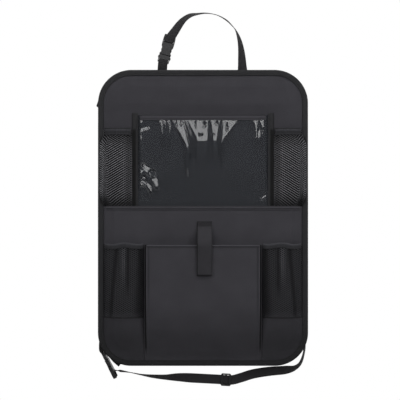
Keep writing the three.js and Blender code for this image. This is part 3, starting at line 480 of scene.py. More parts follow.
def shaded(name, colour, group, settings, source, spread=0.5, rough=0.8, rough_spread=0.12, depth=0.12):
    """A material whose colour, roughness and bump follow a pattern group; its colour also takes painted shade and
    painted highlights from the fold attribute.
    """
    material = bpy.data.materials.new(name)
    material.use_nodes = True
    w = Wires(material.node_tree)
    shader = w.nodes["Principled BSDF"]
    if source == "cloth":
        place = w.nodes.new("ShaderNodeUVMap")
        place.uv_map = "cloth"
        vector = place.outputs["UV"]
    else:
        place = w.nodes.new("ShaderNodeTexCoord")
        vector = place.outputs["Object"]
    pattern = w.nodes.new("ShaderNodeGroup")
    pattern.node_tree = group
    w.links.new(vector, pattern.inputs["Vector"])
    for socket, value in settings.items():
        pattern.inputs[socket].default_value = value
    tone = pattern.outputs[1]
    tint = w.nodes.new("ShaderNodeMix")
    tint.data_type = "RGBA"
    tint.inputs["A"].default_value = [c * (1 - spread) for c in colour[:3]] + [1]
    tint.inputs["B"].default_value = [min(1, c * (1 + spread)) for c in colour[:3]] + [1]
    w.links.new(tone, tint.inputs["Factor"])
    # The fold attribute paints shade and highlights into the colour: positive values darken it towards 6% of itself,
    # negative values lighten it towards 2.6 times.
    fold = w.nodes.new("ShaderNodeAttribute")
    fold.attribute_name = "fold"
    painted_shade = w.nodes.new("ShaderNodeMix")
    painted_shade.data_type = "RGBA"
    painted_shade.inputs["B"].default_value = [c * 0.06 for c in colour[:3]] + [1]
    w.links.new(fold.outputs["Fac"], painted_shade.inputs["Factor"])
    painted_highlight = w.nodes.new("ShaderNodeMix")
    painted_highlight.data_type = "RGBA"
    painted_highlight.inputs["B"].default_value = [min(1, c * 2.6) for c in colour[:3]] + [1]
    w.links.new(w.math("MULTIPLY", fold.outputs["Fac"], -1), painted_highlight.inputs["Factor"])
    w.links.new(tint.outputs["Result"], painted_highlight.inputs["A"])
    w.links.new(painted_highlight.outputs["Result"], painted_shade.inputs["A"])
    w.links.new(painted_shade.outputs["Result"], shader.inputs["Base Color"])
    swing = w.math("MULTIPLY", w.math("SUBTRACT", 0.5, tone), rough_spread)
    w.links.new(w.math("ADD", swing, rough), shader.inputs["Roughness"])
    bump = w.nodes.new("ShaderNodeBump")
    bump.inputs["Strength"].default_value = 1
    bump.inputs["Distance"].default_value = depth * MM
    w.links.new(pattern.outputs["Height"], bump.inputs["Height"])
    w.links.new(bump.outputs["Normal"], shader.inputs["Normal"])
    return material


def cloth_material(name, colour, thread=0.55, sheen=0.05, rough=0.78, depth=0.12, spread=0.35):
    made = shaded(name, colour, WEAVE, {"Thread": thread}, "cloth", spread=spread, rough=rough, depth=depth)
    shader = made.node_tree.nodes["Principled BSDF"]
    shader.inputs["Sheen Weight"].default_value = sheen
    shader.inputs["Sheen Roughness"].default_value = 0.4
    shader.inputs["Specular IOR Level"].default_value = 0.28
    return made


def band_material(name, colour, rib, chevron, lean, rough=0.8, depth=0.2, sheen=0.06):
    settings = {"Rib": rib, "Chevron": chevron, "Lean": lean}
    made = shaded(name, colour, RIBS, settings, "cloth", spread=0.45, rough=rough, depth=depth)
    shader = made.node_tree.nodes["Principled BSDF"]
    shader.inputs["Sheen Weight"].default_value = sheen
    shader.inputs["Specular IOR Level"].default_value = 0.28
    return made


OXFORD = cloth_material("oxford_cloth", srgb(58, 57, 62))
POCKET_CLOTH = cloth_material("pocket_cloth", srgb(62, 61, 66), thread=0.5)
HEM_CLOTH = cloth_material("hem_cloth", srgb(60, 59, 64), thread=0.5)
TAB_CLOTH = cloth_material("tab_cloth", srgb(51, 50, 54), thread=0.5)
LINING = cloth_material("lining_cloth", srgb(50, 50, 53), thread=0.9, sheen=0.15, rough=0.85)
BINDING = band_material("binding_tape", srgb(41, 41, 43), rib=0.9, chevron=40, lean=0.0)
ELASTIC = band_material("ribbed_elastic", srgb(51, 51, 55), rib=1.5, chevron=40, lean=0.0, depth=0.35)
WEBBING = band_material("strap_webbing", srgb(39, 38, 40), rib=1.3, chevron=3.4, lean=1.0, depth=0.3)
THREAD = band_material("sewing_thread", srgb(44, 44, 47), rib=0.5, chevron=3, lean=1.2, rough=0.6)
PLASTIC = shaded("moulded_plastic", srgb(33, 33, 35), GRAIN, {}, "object", spread=0.2, rough=0.42, depth=0.03)
FOAM = shaded("soft_foam", srgb(84, 84, 88), GRAIN, {"Grain": 900.0}, "object", rough=0.95, depth=0.3)
HOOKS = shaded("hook_and_loop", srgb(26, 26, 28), GRAIN, {"Grain": 1500.0}, "object", rough=0.95, depth=0.4)

# %% [markdown]
# ## The padded panel
# The base cloth is stretched over a thin foam sheet and pinched flat where the binding holds it. So it stands a
# little proud between the seams, and short puckers run in from the stitches. The back cloth is the same outline,
# dished in towards the rim.

# %% Panel cloth, foam and lining


def rim_fill(u, v, inset):
    """A place inside the panel's outline: rows crowd together towards the top and the foot."""
    z = math.sin(math.pi * (v - 0.5)) * (HALF_HEIGHT - inset)
    return (2 * u - 1) * edge_x(z, inset), z


def inside_rim(x, z):
    """How far a place lies inside the binding's edge, measured square to the nearest side."""
    return min(edge_x(z, BINDING_EDGE) - abs(x), HALF_HEIGHT - BINDING_EDGE - abs(z))


def pucker(along, inward):
    """Small wrinkles that start at a row of stitches and die out over 14 mm."""
    wave = math.sin(along * 0.61) * math.sin(along * 0.237 + 1.3)
    return 0.28 * wave * (1 - smooth(inward, 0, 14))


ABOVE_WINDOW = node_box("window_top_hem")[1].z + 3


def panel_place(u, v):
    x, z = rim_fill(u, v, RIM_INSET)
    inward = inside_rim(x, z)
    free = smooth(z, ABOVE_WINDOW, ABOVE_WINDOW + 22)
    puff = 1.6 * smooth(inward, 0, 26) * free
    drift = 0.35 * math.sin(x * 0.021 + 0.8) * math.sin(z * 0.035) * free
    wrinkle = pucker(x if abs(z) > CORNER_Z else z, inward) * free
    return x, PANEL_FRONT - puff - (drift + wrinkle) * smooth(inward, -1, 6), z


def behind_net(node, start):
    """A rule for the painted shade inside the left and right net pockets, from the right one's box, and for the
    painted shade at the foot.
    """
    net_low, net_high = node_box(node)

    def dim(x, z, v):
        across = smooth(abs(x), net_low.x + start, net_low.x + start + 4)
        net = across * smooth(z, net_low.z, net_low.z + 12) * (1 - smooth(z, net_high.z - 10, net_high.z))
        return max(0.85 * net, painted_foot_shade(z))
    return dim


def painted_foot_shade(z):
    """Painted shade that makes the foot of the panel a little darker, standing in for the lamps' light falling off
    towards the bottom.
    """
    return 0.3 * (1 - smooth(z, -300, -170))


# Painted shade inside the upper net pockets and towards the foot.
panel_cloth = finish_object("panel_cloth", cloth_grid(150, 210, panel_place, dim=behind_net("upper_mesh_right", 5)),
                            OXFORD, wall=CLOTH)
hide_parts("front_panel")

LINING_WALL = 0.8
LINING_RIM_BACK = binding_high.y - TAPE - GAP


def lining_place(u, v):
    x, z = rim_fill(1 - u, v, RIM_INSET)
    inward = inside_rim(x, z)
    dish = 1 - smooth(inward, 0, 7)
    wrinkle = pucker(x if abs(z) > CORNER_Z else z, inward - 4)
    return x, mix(0.0, LINING_RIM_BACK, dish) - abs(wrinkle) * smooth(inward, 0, 4), z


back_lining = finish_object("back_lining", cloth_grid(120, 170, lining_place), LINING, wall=LINING_WALL)
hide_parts("rear_lining")

# %% [markdown]
# ## The edge binding
# A binding is one long tape folded over the rim. Its section is drawn once as a C that closes on itself, and the
# section is carried round the rim: straight side, corner arc, straight top and so on. A grid does this too, with
# one direction round the rim and the other round the section, and its two ends are merged to make a closed ring.

# %% The rim as a path
RIM_PARTS = []
for corner_x, corner_z, start in ((1, 1, 0), (-1, 1, 90), (-1, -1, 180), (1, -1, 270)):
    RIM_PARTS.append((corner_x * CORNER_X, corner_z * CORNER_Z, start))
ARC_LENGTH = math.pi / 2 * CORNER_RADIUS
STRAIGHTS = (2 * CORNER_X, 2 * CORNER_Z, 2 * CORNER_X, 2 * CORNER_Z)
RIM_LENGTH = 4 * ARC_LENGTH + sum(STRAIGHTS)


def rim_at(along, inset):
    """A place on the rim and the way out from it, from how far round it is, starting at the right-hand corner."""
    along %= RIM_LENGTH
    for (centre_x, centre_z, start), straight in zip(RIM_PARTS, STRAIGHTS):
        if along <= ARC_LENGTH:
            angle = math.radians(start + 90 * along / ARC_LENGTH)
            out = Vector((math.cos(angle), 0, math.sin(angle)))
            return Vector((centre_x, 0, centre_z)) + out * (CORNER_RADIUS - inset), out
        along -= ARC_LENGTH
        if along <= straight:
            angle = math.radians(start + 90)
            out = Vector((math.cos(angle), 0, math.sin(angle)))
            way = Vector((-out.z, 0, out.x))
            return Vector((centre_x, 0, centre_z)) + out * (CORNER_RADIUS - inset) + way * along, out
        along -= straight
    return rim_at(0, inset)


# %% The binding's section, carried round the rim
BINDING_BACK = binding_high.y
TAIL_FOOT = 233
TAIL_HEAD = 245
TAIL_REACH = 4
SECTION = [
    (12, 0, 1), (11.4, 0.1, 1), (10.2, 0.32, 1), (9.2, 0.5, 1), (8.4, 0.3, 1), (6, 0, 1), (3.6, 0, 1),
    (1.7, 0.15, 1), (0.7, 0.7, 1), (0.1, 1.7, 1), (0.0, 2.4, 1), (0.0, 2.4, 0), (0.1, 1.7, 0),
    (0.7, 0.7, 0), (1.7, 0.15, 0), (4, 0, 0), (8.4, 0.2, 0), (9.2, 0.4, 0), (10.2, 0.2, 0), (12, 0, 0),
    (12, 0.9, 0), (6, 0.9, 0), (1.2, 1.2, 0), (1.2, 1.2, 1), (6, 0.9, 1), (12, 0.9, 1),
]


def binding_place(u, v):
    along = u * RIM_LENGTH
    inset, sunk, forward = SECTION[round(v * len(SECTION)) % len(SECTION)]
    spot, _ = rim_at(along, inset)
    front = binding_front(spot.z)
    ripple = 0.16 * math.sin(along * 0.74) * math.sin(along * 0.13 + 2) * smooth(inset, 2, 9)
    y = front + sunk - ripple if forward else BINDING_BACK - sunk + ripple
    return spot.x - tail_reach(spot.x, spot.z) * (1 - smooth(inset, 1, 9)), y, spot.z


def tail_reach(x, z):
    """The end of the tape is tucked in on the left, and a corner of it stands out of the edge."""
    if x > 0 or not TAIL_FOOT <= z <= TAIL_HEAD:
        return 0.0
    return TAIL_REACH * (TAIL_HEAD - z) / (TAIL_HEAD - TAIL_FOOT)


UPPER_NET_LOW, UPPER_NET_HIGH = node_box("upper_mesh_right")


def under_net(x, z, v):
    """Painted shade where the upper net rolls over the tape, leaving only its outer edge light, a painted dark line
    along the tape's inner edge, and more painted shade towards the foot.
    """
    low, high = UPPER_NET_LOW.z, UPPER_NET_HIGH.z
    covered = smooth(z, low + 10, low + 24) * (1 - smooth(z, high - 24, high - 12))
    edge_shade_line = 0.5 * (SECTION[round(v * len(SECTION)) % len(SECTION)][0] >= 11.4)
    return max(0.9 * covered * smooth(edge_x(z, 4) - abs(x), 0, 2), edge_shade_line, 1.6 * painted_foot_shade(z))


def binding_lay(u, v):
    return v * 60, u * RIM_LENGTH


def closed_ring(bm):
    bmesh.ops.remove_doubles(bm, verts=bm.verts, dist=0.01 * MM)
    bmesh.ops.recalc_face_normals(bm, faces=bm.faces)
    return bm


binding = finish_object(
    "binding_tape", closed_ring(cloth_grid(620, len(SECTION), binding_place, binding_lay, under_net)), BINDING)
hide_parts("edge_binding")

# %% [markdown]
# ## Stitches
# A lockstitch shows as a row of short plump dashes. Each dash is a tiny icosphere of twenty faces stretched along
# the seam, because the rows hold thousands of them: a rounder dash would cost a lot and show nothing.

# %% A row of stitches along a path


def add_stitches(row, path, length=3.0, gap=1.2, thick=0.55):
    """path(s) gives a place in millimetres and the cloth's outward way there; row holds the whole seam's bmesh."""
    walk, total = path
    count = max(1, int(total / (length + gap)))
    for number in range(count):
        middle = (number + 0.5) * total / count
        spot, out = walk(middle)
        ahead, _ = walk(min(total, middle + 0.5))
        behind, _ = walk(max(0.0, middle - 0.5))
        way = (ahead - behind).normalized()
        side = way.cross(out).normalized()
        turn = Matrix((side, way, side.cross(way))).transposed().to_4x4()
        size = Matrix.Diagonal((thick / 2 * MM, length / 2 * MM, thick / 2 * MM, 1))
        place = Matrix.Translation(at(*spot)) @ turn @ size
        bmesh.ops.create_icosphere(row, subdivisions=1, radius=1, matrix=place)


def line_path(start, end, out=(0, -1, 0)):
    start, end, out = Vector(start), Vector(end), Vector(out)
    total = (end - start).length

    def walk(along):
        return start.lerp(end, along / total), out
    return walk, total


def ruled_path(rule, steps=80):
    """A path through rule(t), t from 0 to 1, which gives a place in millimetres."""
    marks = [Vector(rule(number / steps)) for number in range(steps + 1)]
    lengths = [0.0]
    for a, b in zip(marks, marks[1:]):
        lengths.append(lengths[-1] + (b - a).length)

    def walk(along):
        number = min(steps - 1, sum(1 for length in lengths[1:] if length < along))
        step = max(1e-6, lengths[number + 1] - lengths[number])
        return marks[number].lerp(marks[number + 1], (along - lengths[number]) / step), Vector((0, -1, 0))
    return walk, lengths[-1]


def seam(name, paths, body="organizer", **sizes):
    """One object for all the rows of one seam."""
    row = bmesh.new()
    for path in paths:
        add_stitches(row, path, **sizes)
    piece = finish_object(name, row, THREAD, body=body)
    return piece


def binding_row(face, inset):
    def walk(along):
        spot, _ = rim_at(along, inset)
        y = binding_front(spot.z) + 0.45 if face < 0 else BINDING_BACK - 0.35
        return Vector((spot.x, y, spot.z)), Vector((0, face, 0))
    return walk, RIM_LENGTH


seam("binding_stitches", [binding_row(-1, 9.2), binding_row(1, 9.2)], length=3.0, gap=1.0)

# %% [markdown]
# ## The tablet pocket
# The window is a sheet of clear vinyl. Vinyl is stiff and slippery, and it was folded in a box before the picture
# was taken, so it isn't flat: from the taped hem hang short tongues where it stands forward, and each tongue
# throws the lamp back at the camera. The tongues are real slopes in the mesh, of about seven degrees, so the
# glints move as they should when the view turns.

# %% The window's rules
FILM = 0.5
window_low, window_high = node_box("tablet_window")
hem_low, hem_high = node_box("window_top_hem")
WINDOW_TOP = hem_high.z
WINDOW_FOOT = window_low.z
WINDOW_HALF = window_high.x
WINDOW_HEM = hem_high.z - hem_low.z
TAPE_INNER = node_box("window_tape_right")[0].x
TAPE_OUTER = node_box("window_tape_right")[1].x
WINDOW_BASE = window_high.y - FILM
HEM_BASE = WINDOW_BASE - TAPE - 0.3
WINDOW_DEPTH = 7.0
HEM_END = TAPE_INNER - 5


def side_fold(x):
    """The film's share of its full rise: it drops steeply beside the hem's end, then leans in to the tape."""
    shelf = TAPE_INNER - 2.9
    if abs(x) > shelf:
        return 0.17 * (1 - clamp((abs(x) - shelf) / 2.7))
    return mix(1, 0.17, smooth(abs(x), HEM_END - 0.5, shelf))


def window_rise(x, z):
    """How far the film stands off the panel: flat below the hem, folded down at the side tapes, flush at the foot."""
    return (1.2 + WINDOW_DEPTH) * side_fold(x) * smooth(z, WINDOW_FOOT + 15, WINDOW_FOOT + 95)


# Each tongue, in picture pixels: its left and right edge at the hem, the same at its end, and the end's height
TONGUES = [
    (159, 162, 161.5, 163, 128.3), (162.6, 164.4, 165, 165.6, 126), (166, 169, 169, 170.6, 127.4),
    (172, 183, 186, 189.6, 147), (184.6, 186, 190.4, 191.8, 137.3), (187, 208, 196, 208, 139.2),
    (210.6, 219.8, 212.4, 217.6, 138.6), (223, 238.8, 221, 223, 141.6), (253.3, 258, 254.8, 257.2, 127.8),
    (259.4, 263.8, 261, 263.6, 126),
]
# Where a tongue is dented back: centre, half width and half height in pixels
NOTCHES = [
    (195.6, 122, 1.0, 6), (204.4, 124, 1.9, 3.8), (200.8, 135, 2.2, 1.3), (217, 122.3, 1.6, 3.2),
    (226.8, 127, 1.1, 4), (212.8, 134.5, 1.2, 0.8), (176.5, 124, 0.9, 4), (181, 123, 0.7, 3),
]
# Loose flaps elsewhere: start, end, and half width at each, in pixels
FLAPS = [
    (138.6, 123.6, 140.8, 121.2, 0.8, 0.6), (139.4, 131.6, 148.4, 127.6, 1.9, 0.5),
    (139.6, 136.4, 138.9, 142, 1.8, 0.5), (260.4, 131, 257.4, 138.6, 1.3, 0.7),
    (143.5, 166.6, 153, 173.6, 2.2, 2.8), (153, 173.6, 156.8, 186, 2.8, 1.2), (141.3, 167.5, 141.4, 173, 0.9, 0.7),
    (144, 178.6, 151, 190.4, 1.8, 0.8), (144, 183, 139.9, 184, 2.0, 1.2), (139.6, 202.2, 142.2, 202.2, 0.6, 0.5),
    (139.8, 206.4, 142, 206.4, 0.5, 0.5), (267.2, 194.6, 262, 198.5, 1.3, 0.4),
]
# A slope of the film that turns the front lamp's image to the viewer, how it flattens in each millimetre below the
# hem, and the gentle slope between the tongues
GLARE_SLOPE = 0.175
FLATTEN = 0.0011
HANG_SLOPE = 0.03
HANG_LENGTH = 36
HEM_LINE = WINDOW_TOP - WINDOW_HEM + 1.5


def hang_rise(below):
    """The film leaves the hem leaning forward, and comes back lower down."""
    return HANG_SLOPE * min(below, HANG_LENGTH) * (1 - smooth(below, HANG_LENGTH + 4, 120))


def tongue_share(px, py, tongue):
    left, right, end_left, end_right, end = tongue
    start = pixel_y_of(HEM_LINE)
    share = clamp((py - start) / (end - start))
    low, high = mix(left, end_left, share), mix(right, end_right, share)
    across = smooth(px, low - 0.5, low + 0.5) * (1 - smooth(px, high - 0.5, high + 0.5))
    return across * (1 - smooth(py, end - 0.5, end + 34))


def pixel_y_of(z):
    return PANEL_CENTRE_PIXEL[1] - z * MM / PIXEL


def notch_share(px, py, notch):
    centre_x, centre_y, half_wide, half_high = notch
    return 1 - smooth(math.hypot((px - centre_x) / half_wide, (py - centre_y) / half_high), 0.6, 1.2)


def flap_rise(x, px, py, flap):
    """A loose flap leans forward from its upper end to its lower one, whatever the film does round it."""
    start_x, start_y, end_x, end_y, first, last = flap
    run = Vector((end_x - start_x, end_y - start_y))
    spot = Vector((px - start_x, py - start_y))
    share = clamp(spot.dot(run) / run.length_squared)
    away = (spot - run * share).length
    half = mix(first, last, share)
    inside = 1 - smooth(away, half, half + 2.2)
    if inside <= 0:
        return 0.0
    middle = (start_y + end_y) / 2
    return inside * (GLARE_SLOPE * (py - middle) * PIXEL / MM + lie_of_film(x, middle) - lie_of_film(x, py))


def lie_of_film(x, py):
    z = pixel_z(py) / MM
    return window_rise(x, z) + hang_rise(max(0.0, HEM_LINE - z))


def film_wrinkles(x, z):
    px = PANEL_CENTRE_PIXEL[0] + x * MM / PIXEL
    py = pixel_y_of(z)
    below = max(0.0, HEM_LINE - z)
    rise = hang_rise(below)
    if below > 0:
        share = max(tongue_share(px, py, tongue) for tongue in TONGUES)
        share *= 1 - max(notch_share(px, py, notch) for notch in NOTCHES)
        rise = mix(rise, (GLARE_SLOPE - FLATTEN * below / 2) * below, share)
    return rise + sum(flap_rise(x, px, py, flap) for flap in FLAPS)


FILM_COLUMNS = 260
EDGE_COLUMNS = 24
EDGE_ZONE = 128


def film_x(u):
    """Columns crowd together at the side folds."""
    number = abs(2 * u - 1) * FILM_COLUMNS / 2
    inner = FILM_COLUMNS / 2 - EDGE_COLUMNS
    if number > inner:
        return math.copysign(mix(EDGE_ZONE, WINDOW_HALF, (number - inner) / EDGE_COLUMNS), 2 * u - 1)
    return math.copysign(number / inner * EDGE_ZONE, 2 * u - 1)


def film_place(u, v):
    x = film_x(u)
    z = mix(WINDOW_FOOT, WINDOW_TOP - TAPE - GAP, v)
    foot = smooth(z, WINDOW_FOOT + 4, WINDOW_FOOT + 30)
    edge = clamp((side_fold(x) - 0.17) / 0.83)
    return x, WINDOW_BASE - window_rise(x, z) - film_wrinkles(x, z) * edge * max(foot, 0.15), z


def film_material():
    """Clear vinyl, a little smoky: mostly see-through, with a sharp gloss and faint rub marks."""
    material = bpy.data.materials.new("clear_vinyl")
    material.use_nodes = True
    w = Wires(material.node_tree)
    shader = w.nodes["Principled BSDF"]
    shader.inputs["Base Color"].default_value = srgb(71, 74, 79)
    shader.inputs["IOR"].default_value = 1.6
    shader.inputs["Specular IOR Level"].default_value = 0.9
    place = w.nodes.new("ShaderNodeTexCoord")
    rubs = w.noise(place.outputs["Object"], 14, 5)
    w.links.new(w.math("ADD", w.math("MULTIPLY", rubs, 0.05), 0.035), shader.inputs["Roughness"])
    haze = w.noise(place.outputs["Object"], 30, 3)
    w.links.new(w.math("ADD", w.math("MULTIPLY", haze, 0.08), 0.36), shader.inputs["Alpha"])
    return material


CLEAR_VINYL = film_material()
film = finish_object("window_film", cloth_grid(FILM_COLUMNS, 165, film_place), CLEAR_VINYL, wall=FILM)
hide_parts("tablet_window")
print("film wrinkles stand", round(max(film_wrinkles(x, 160) for x in range(-130, 131)), 1), "mm forward")

# %% [markdown]
# ## Hems and tapes
# The top of each pocket has a tape folded over it. A folded edge is never sharp: it rolls over a small bead, which
# catches the light from above as the thin pale line seen along every hem, and a row of stitches holds it down. The
# pale line is strengthened by a painted highlight, and the dark lines beside it are painted shade.

# %% A tape folded over the top of a cloth


def folded_tape(name, columns, ends, slot, material, relief, crest=0.0, wall=TAPE):
    """ends(u) gives the cloth's middle at the fold and at the tape's foot, in millimetres.

    relief lists the outside from the foot up: (share of the height down, how proud, how much painted shade, negative
    for a painted highlight). crest is the painted shade on the fold itself. The inside of the slot gets half painted
    shade."""
    half = slot / 2 + wall
    section = [(down, -half - proud, 0, dark) for down, proud, dark in relief]
    for number in range(7):
        angle = math.pi * number / 6
        section.append((0.0, -math.cos(angle) * half, math.sin(angle) * half, crest))
    section += [(0.3, half, 0, 0), (0.7, half, 0, 0), (1.0, half, 0, 0)]
    section += [(1.0, slot / 2, 0, 0.5), (0.1, slot / 2, 0, 0.5), (0.1, -slot / 2, 0, 0.5), (1.0, -slot / 2, 0, 0.5)]

    def step(v):
        return section[round(v * len(section)) % len(section)]

    def place(u, v):
        top, foot = ends(u)
        down, shift, up, _ = step(v)
        spot = top.lerp(foot, down)
        return spot.x, spot.y + shift, spot.z + up - (half if down == 0.0 else 0.0)

    def lay(u, v):
        top, _ = ends(u)
        return v * 30, top.x
    bm = cloth_grid(columns, len(section), place, lay, lambda x, z, v: step(v)[3])
    bmesh.ops.remove_doubles(bm, verts=bm.verts, dist=0.005 * MM)
    bmesh.ops.holes_fill(bm, edges=[e for e in bm.edges if e.is_boundary], sides=0)
    bmesh.ops.recalc_face_normals(bm, faces=bm.faces)
    return finish_object(name, bm, material)


def window_hem_ends(u):
    x = mix(-HEM_END, HEM_END, u)
    return [Vector((x, WINDOW_BASE + FILM / 2 - window_rise(x, z), z))
            for z in (WINDOW_TOP, WINDOW_TOP - WINDOW_HEM)]


# The third column is painted shade, or a painted highlight where negative; crest paints shade along the fold.
WINDOW_RELIEF = [(1.0, 0, 0.4), (0.97, 0.05, 0), (0.85, 0, 0), (0.78, -0.3, 0.3), (0.7, 0, 0), (0.56, 0.1, 0),
                 (0.46, 0.4, -0.4), (0.36, 0.1, 0), (0.2, 0, 0.3)]
window_hem = folded_tape("window_hem", 120, window_hem_ends, FILM + 2 * GAP, HEM_CLOTH, WINDOW_RELIEF, crest=0.5)
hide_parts("window_top_hem")

# %% The tapes at the sides of the window
SIDE_TAPE_BACK = node_box("window_tape_right")[1].y
SIDE_TAPE_FRONT = node_box("window_tape_right")[0].y
SIDE_TAPE_TOP = node_box("window_tape_right")[1].z


def side_tape_place(u, v):
    """A long flat tape with a bead down its inner edge, where it is folded under, and a dip along its stitches."""
    x = mix(TAPE_INNER, TAPE_OUTER, u)
    z = mix(WINDOW_FOOT, SIDE_TAPE_TOP, v)
    bead = 0.8 * bump_between(u, -0.06, 0.2)
    dip = 0.3 * bump_between(u, 0.24, 0.4)
    wave = 0.15 * math.sin(z * 0.31) * math.sin(z * 0.083)
    return x, SIDE_TAPE_FRONT - bead + dip + wave, z


def tape_dim(x, z, v):
    """Painted shade: below the pocket's mouth the outer half of the tape, in the groove beside the net, is painted
    nearly black, and the tape's outer edge is painted dark; a painted highlight lightens the bead on its inner edge.
    """
    groove = smooth(abs(x), TAPE_INNER + 4.2, TAPE_INNER + 5.6) * (1 - smooth(z, UPPER_TOP - 6, UPPER_TOP))
    sides = bump_between(abs(x), TAPE_OUTER - 2, TAPE_OUTER + 1) * 0.7
    return max(0.97 * groove, sides) - 0.35 * (1 - smooth(abs(x), TAPE_INNER, TAPE_INNER + 1.4))


for side in SIDES:
    tape = finish_object(f"window_side_tape_{side}", cloth_grid(20, 110, side_place(side, side_tape_place),
                         lambda u, v: (u * 12, v * 200), tape_dim), BINDING, wall=TAPE)
    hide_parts(f"window_tape_{side}")


def hem_path(ends, half, share=0.74):
    """The row that holds a folded tape down, three quarters of the way to its foot."""
    def rule(u):
        top, foot = ends(u)
        spot = top.lerp(foot, share)
        return spot.x, spot.y - half + 0.25, spot.z
    return ruled_path(rule)


tape_rows = [line_path((sign * (TAPE_INNER + 4), SIDE_TAPE_FRONT + 0.15, WINDOW_FOOT + 3),
                       (sign * (TAPE_INNER + 4), SIDE_TAPE_FRONT + 0.15, SIDE_TAPE_TOP - 3)) for sign in (-1, 1)]
seam("window_stitches", tape_rows + [hem_path(window_hem_ends, FILM / 2 + GAP + TAPE)])

# %% [markdown]
# ## Net
# The side pockets are knitted net: two families of strands cross at a slant and leave diamonds. Bump can't show
# holes, so the strands are real. A grid is turned by 45 degrees, trimmed to the pocket's flat size, and the
# wireframe operator turns each edge into a strand; only then is it laid on the pocket's curve. In the picture one
# family shines near the rim and the other in the middle, as each strand is glossy along its length; that shine is
# a painted sheen, which every face keeps as a number, from its family and place, that mixes its colour towards pale.

# %% A flat net, laid on a curve


def net_piece(name, flat_size, diamond, strand, place, painted_sheen, material):
    """diamond is one hole's width and height. place(u, v) gives the pocket's surface, all in millimetres."""
    width, height = flat_size
    stretch = diamond[0] / diamond[1]
    narrow = width / stretch
    side = diamond[1] / math.sqrt(2)
    bm = bmesh.new()
    count = int(math.hypot(narrow, height) / side) + 1
    bmesh.ops.create_grid(bm, x_segments=count, y_segments=count, size=count * side / 2)
    bmesh.ops.rotate(bm, verts=bm.verts, cent=(0, 0, 0), matrix=Matrix.Rotation(math.radians(45), 3, "Z"))
    for normal, distance in (((1, 0, 0), narrow), ((-1, 0, 0), narrow), ((0, 1, 0), height), ((0, -1, 0), height)):
        plane = Vector(normal)
        bmesh.ops.bisect_plane(bm, geom=bm.verts[:] + bm.edges[:] + bm.faces[:], dist=1e-5,
                               plane_co=plane * distance / 2, plane_no=plane, clear_outer=True)
    bmesh.ops.wireframe(bm, faces=bm.faces[:], thickness=strand, use_replace=True, use_boundary=True,
                        use_even_offset=True)
    layer = bm.loops.layers.uv.new("cloth")
    # Each face keeps its painted sheen, set by its family and place.
    glow = bm.faces.layers.float.new("painted_sheen")
    for face in bm.faces:
        longest = max(face.edges, key=lambda edge: edge.calc_length())
        way = longest.verts[1].co - longest.verts[0].co
        centre = face.calc_center_median()
        family = 1 if way.x * way.y > 0 else -1
        face[glow] = painted_sheen(centre.x / narrow + 0.5, centre.y / height + 0.5, family)
        for loop in face.loops:
            loop[layer].uv = (loop.vert.co.x, loop.vert.co.y)
    for vert in bm.verts:
        out = vert.co.z
        x, y, z = place(clamp(vert.co.x / narrow + 0.5), clamp(vert.co.y / height + 0.5))
        vert.co = at(x, y - out, z)
    bmesh.ops.recalc_face_normals(bm, faces=bm.faces)
    piece = finish_object(name, bm, material)
    print(name, len(piece.data.polygons), "faces")
    return piece


def net_material(name, dark, pale):
    """Black yarn with a painted sheen: a per-face attribute mixes each strand's colour from dark towards pale,
    standing in for the lamps' gleam along the strand.
    """
    material = bpy.data.materials.new(name)
    material.use_nodes = True
    w = Wires(material.node_tree)
    shader = w.nodes["Principled BSDF"]
    shader.inputs["Specular IOR Level"].default_value = 0.2
    glow = w.nodes.new("ShaderNodeAttribute")
    glow.attribute_name = "painted_sheen"
    place = w.nodes.new("ShaderNodeUVMap")
    place.uv_map = "cloth"
    yarn = w.nodes.new("ShaderNodeGroup")
    yarn.node_tree = RIBS
    yarn.inputs["Rib"].default_value = 0.35
    yarn.inputs["Chevron"].default_value = 2
    w.links.new(place.outputs["UV"], yarn.inputs["Vector"])
    tint = w.nodes.new("ShaderNodeMix")
    tint.data_type = "RGBA"
    tint.inputs["A"].default_value = dark
    tint.inputs["B"].default_value = pale
    w.links.new(w.math("MULTIPLY", glow.outputs["Fac"], w.math("ADD", yarn.outputs["Tone"], 0.45)),
                tint.inputs["Factor"])
    w.links.new(tint.outputs["Result"], shader.inputs["Base Color"])
    w.links.new(w.math("SUBTRACT", 0.75, w.math("MULTIPLY", glow.outputs["Fac"], 0.25)),
                shader.inputs["Roughness"])
    bump = w.nodes.new("ShaderNodeBump")
    bump.inputs["Distance"].default_value = 0.05 * MM
    w.links.new(yarn.outputs["Height"], bump.inputs["Height"])
    w.links.new(bump.outputs["Normal"], shader.inputs["Normal"])
    return material


# The pale colours are the tone of the painted sheen.
NET = net_material("black_net", srgb(18, 18, 20), srgb(160, 160, 165))
FINE_NET = net_material("fine_net", srgb(18, 18, 20), srgb(105, 105, 110))

# %% The upper pockets' curve
NET_WALL = 0.8
UPPER_DEPTH = 15
UPPER_FOOT = 12
UPPER_ELASTIC = 14.5
UPPER_BASE = PANEL_FRONT - GAP - NET_WALL
UPPER_TAPE = TAPE_OUTER + 1
UPPER_UNDER_TAPE = (TAPE_INNER + TAPE_OUTER) / 2 + GAP


def crown(u, power):
    return math.sin(math.pi * clamp(u)) ** power if 0 < u < 1 else 0.0


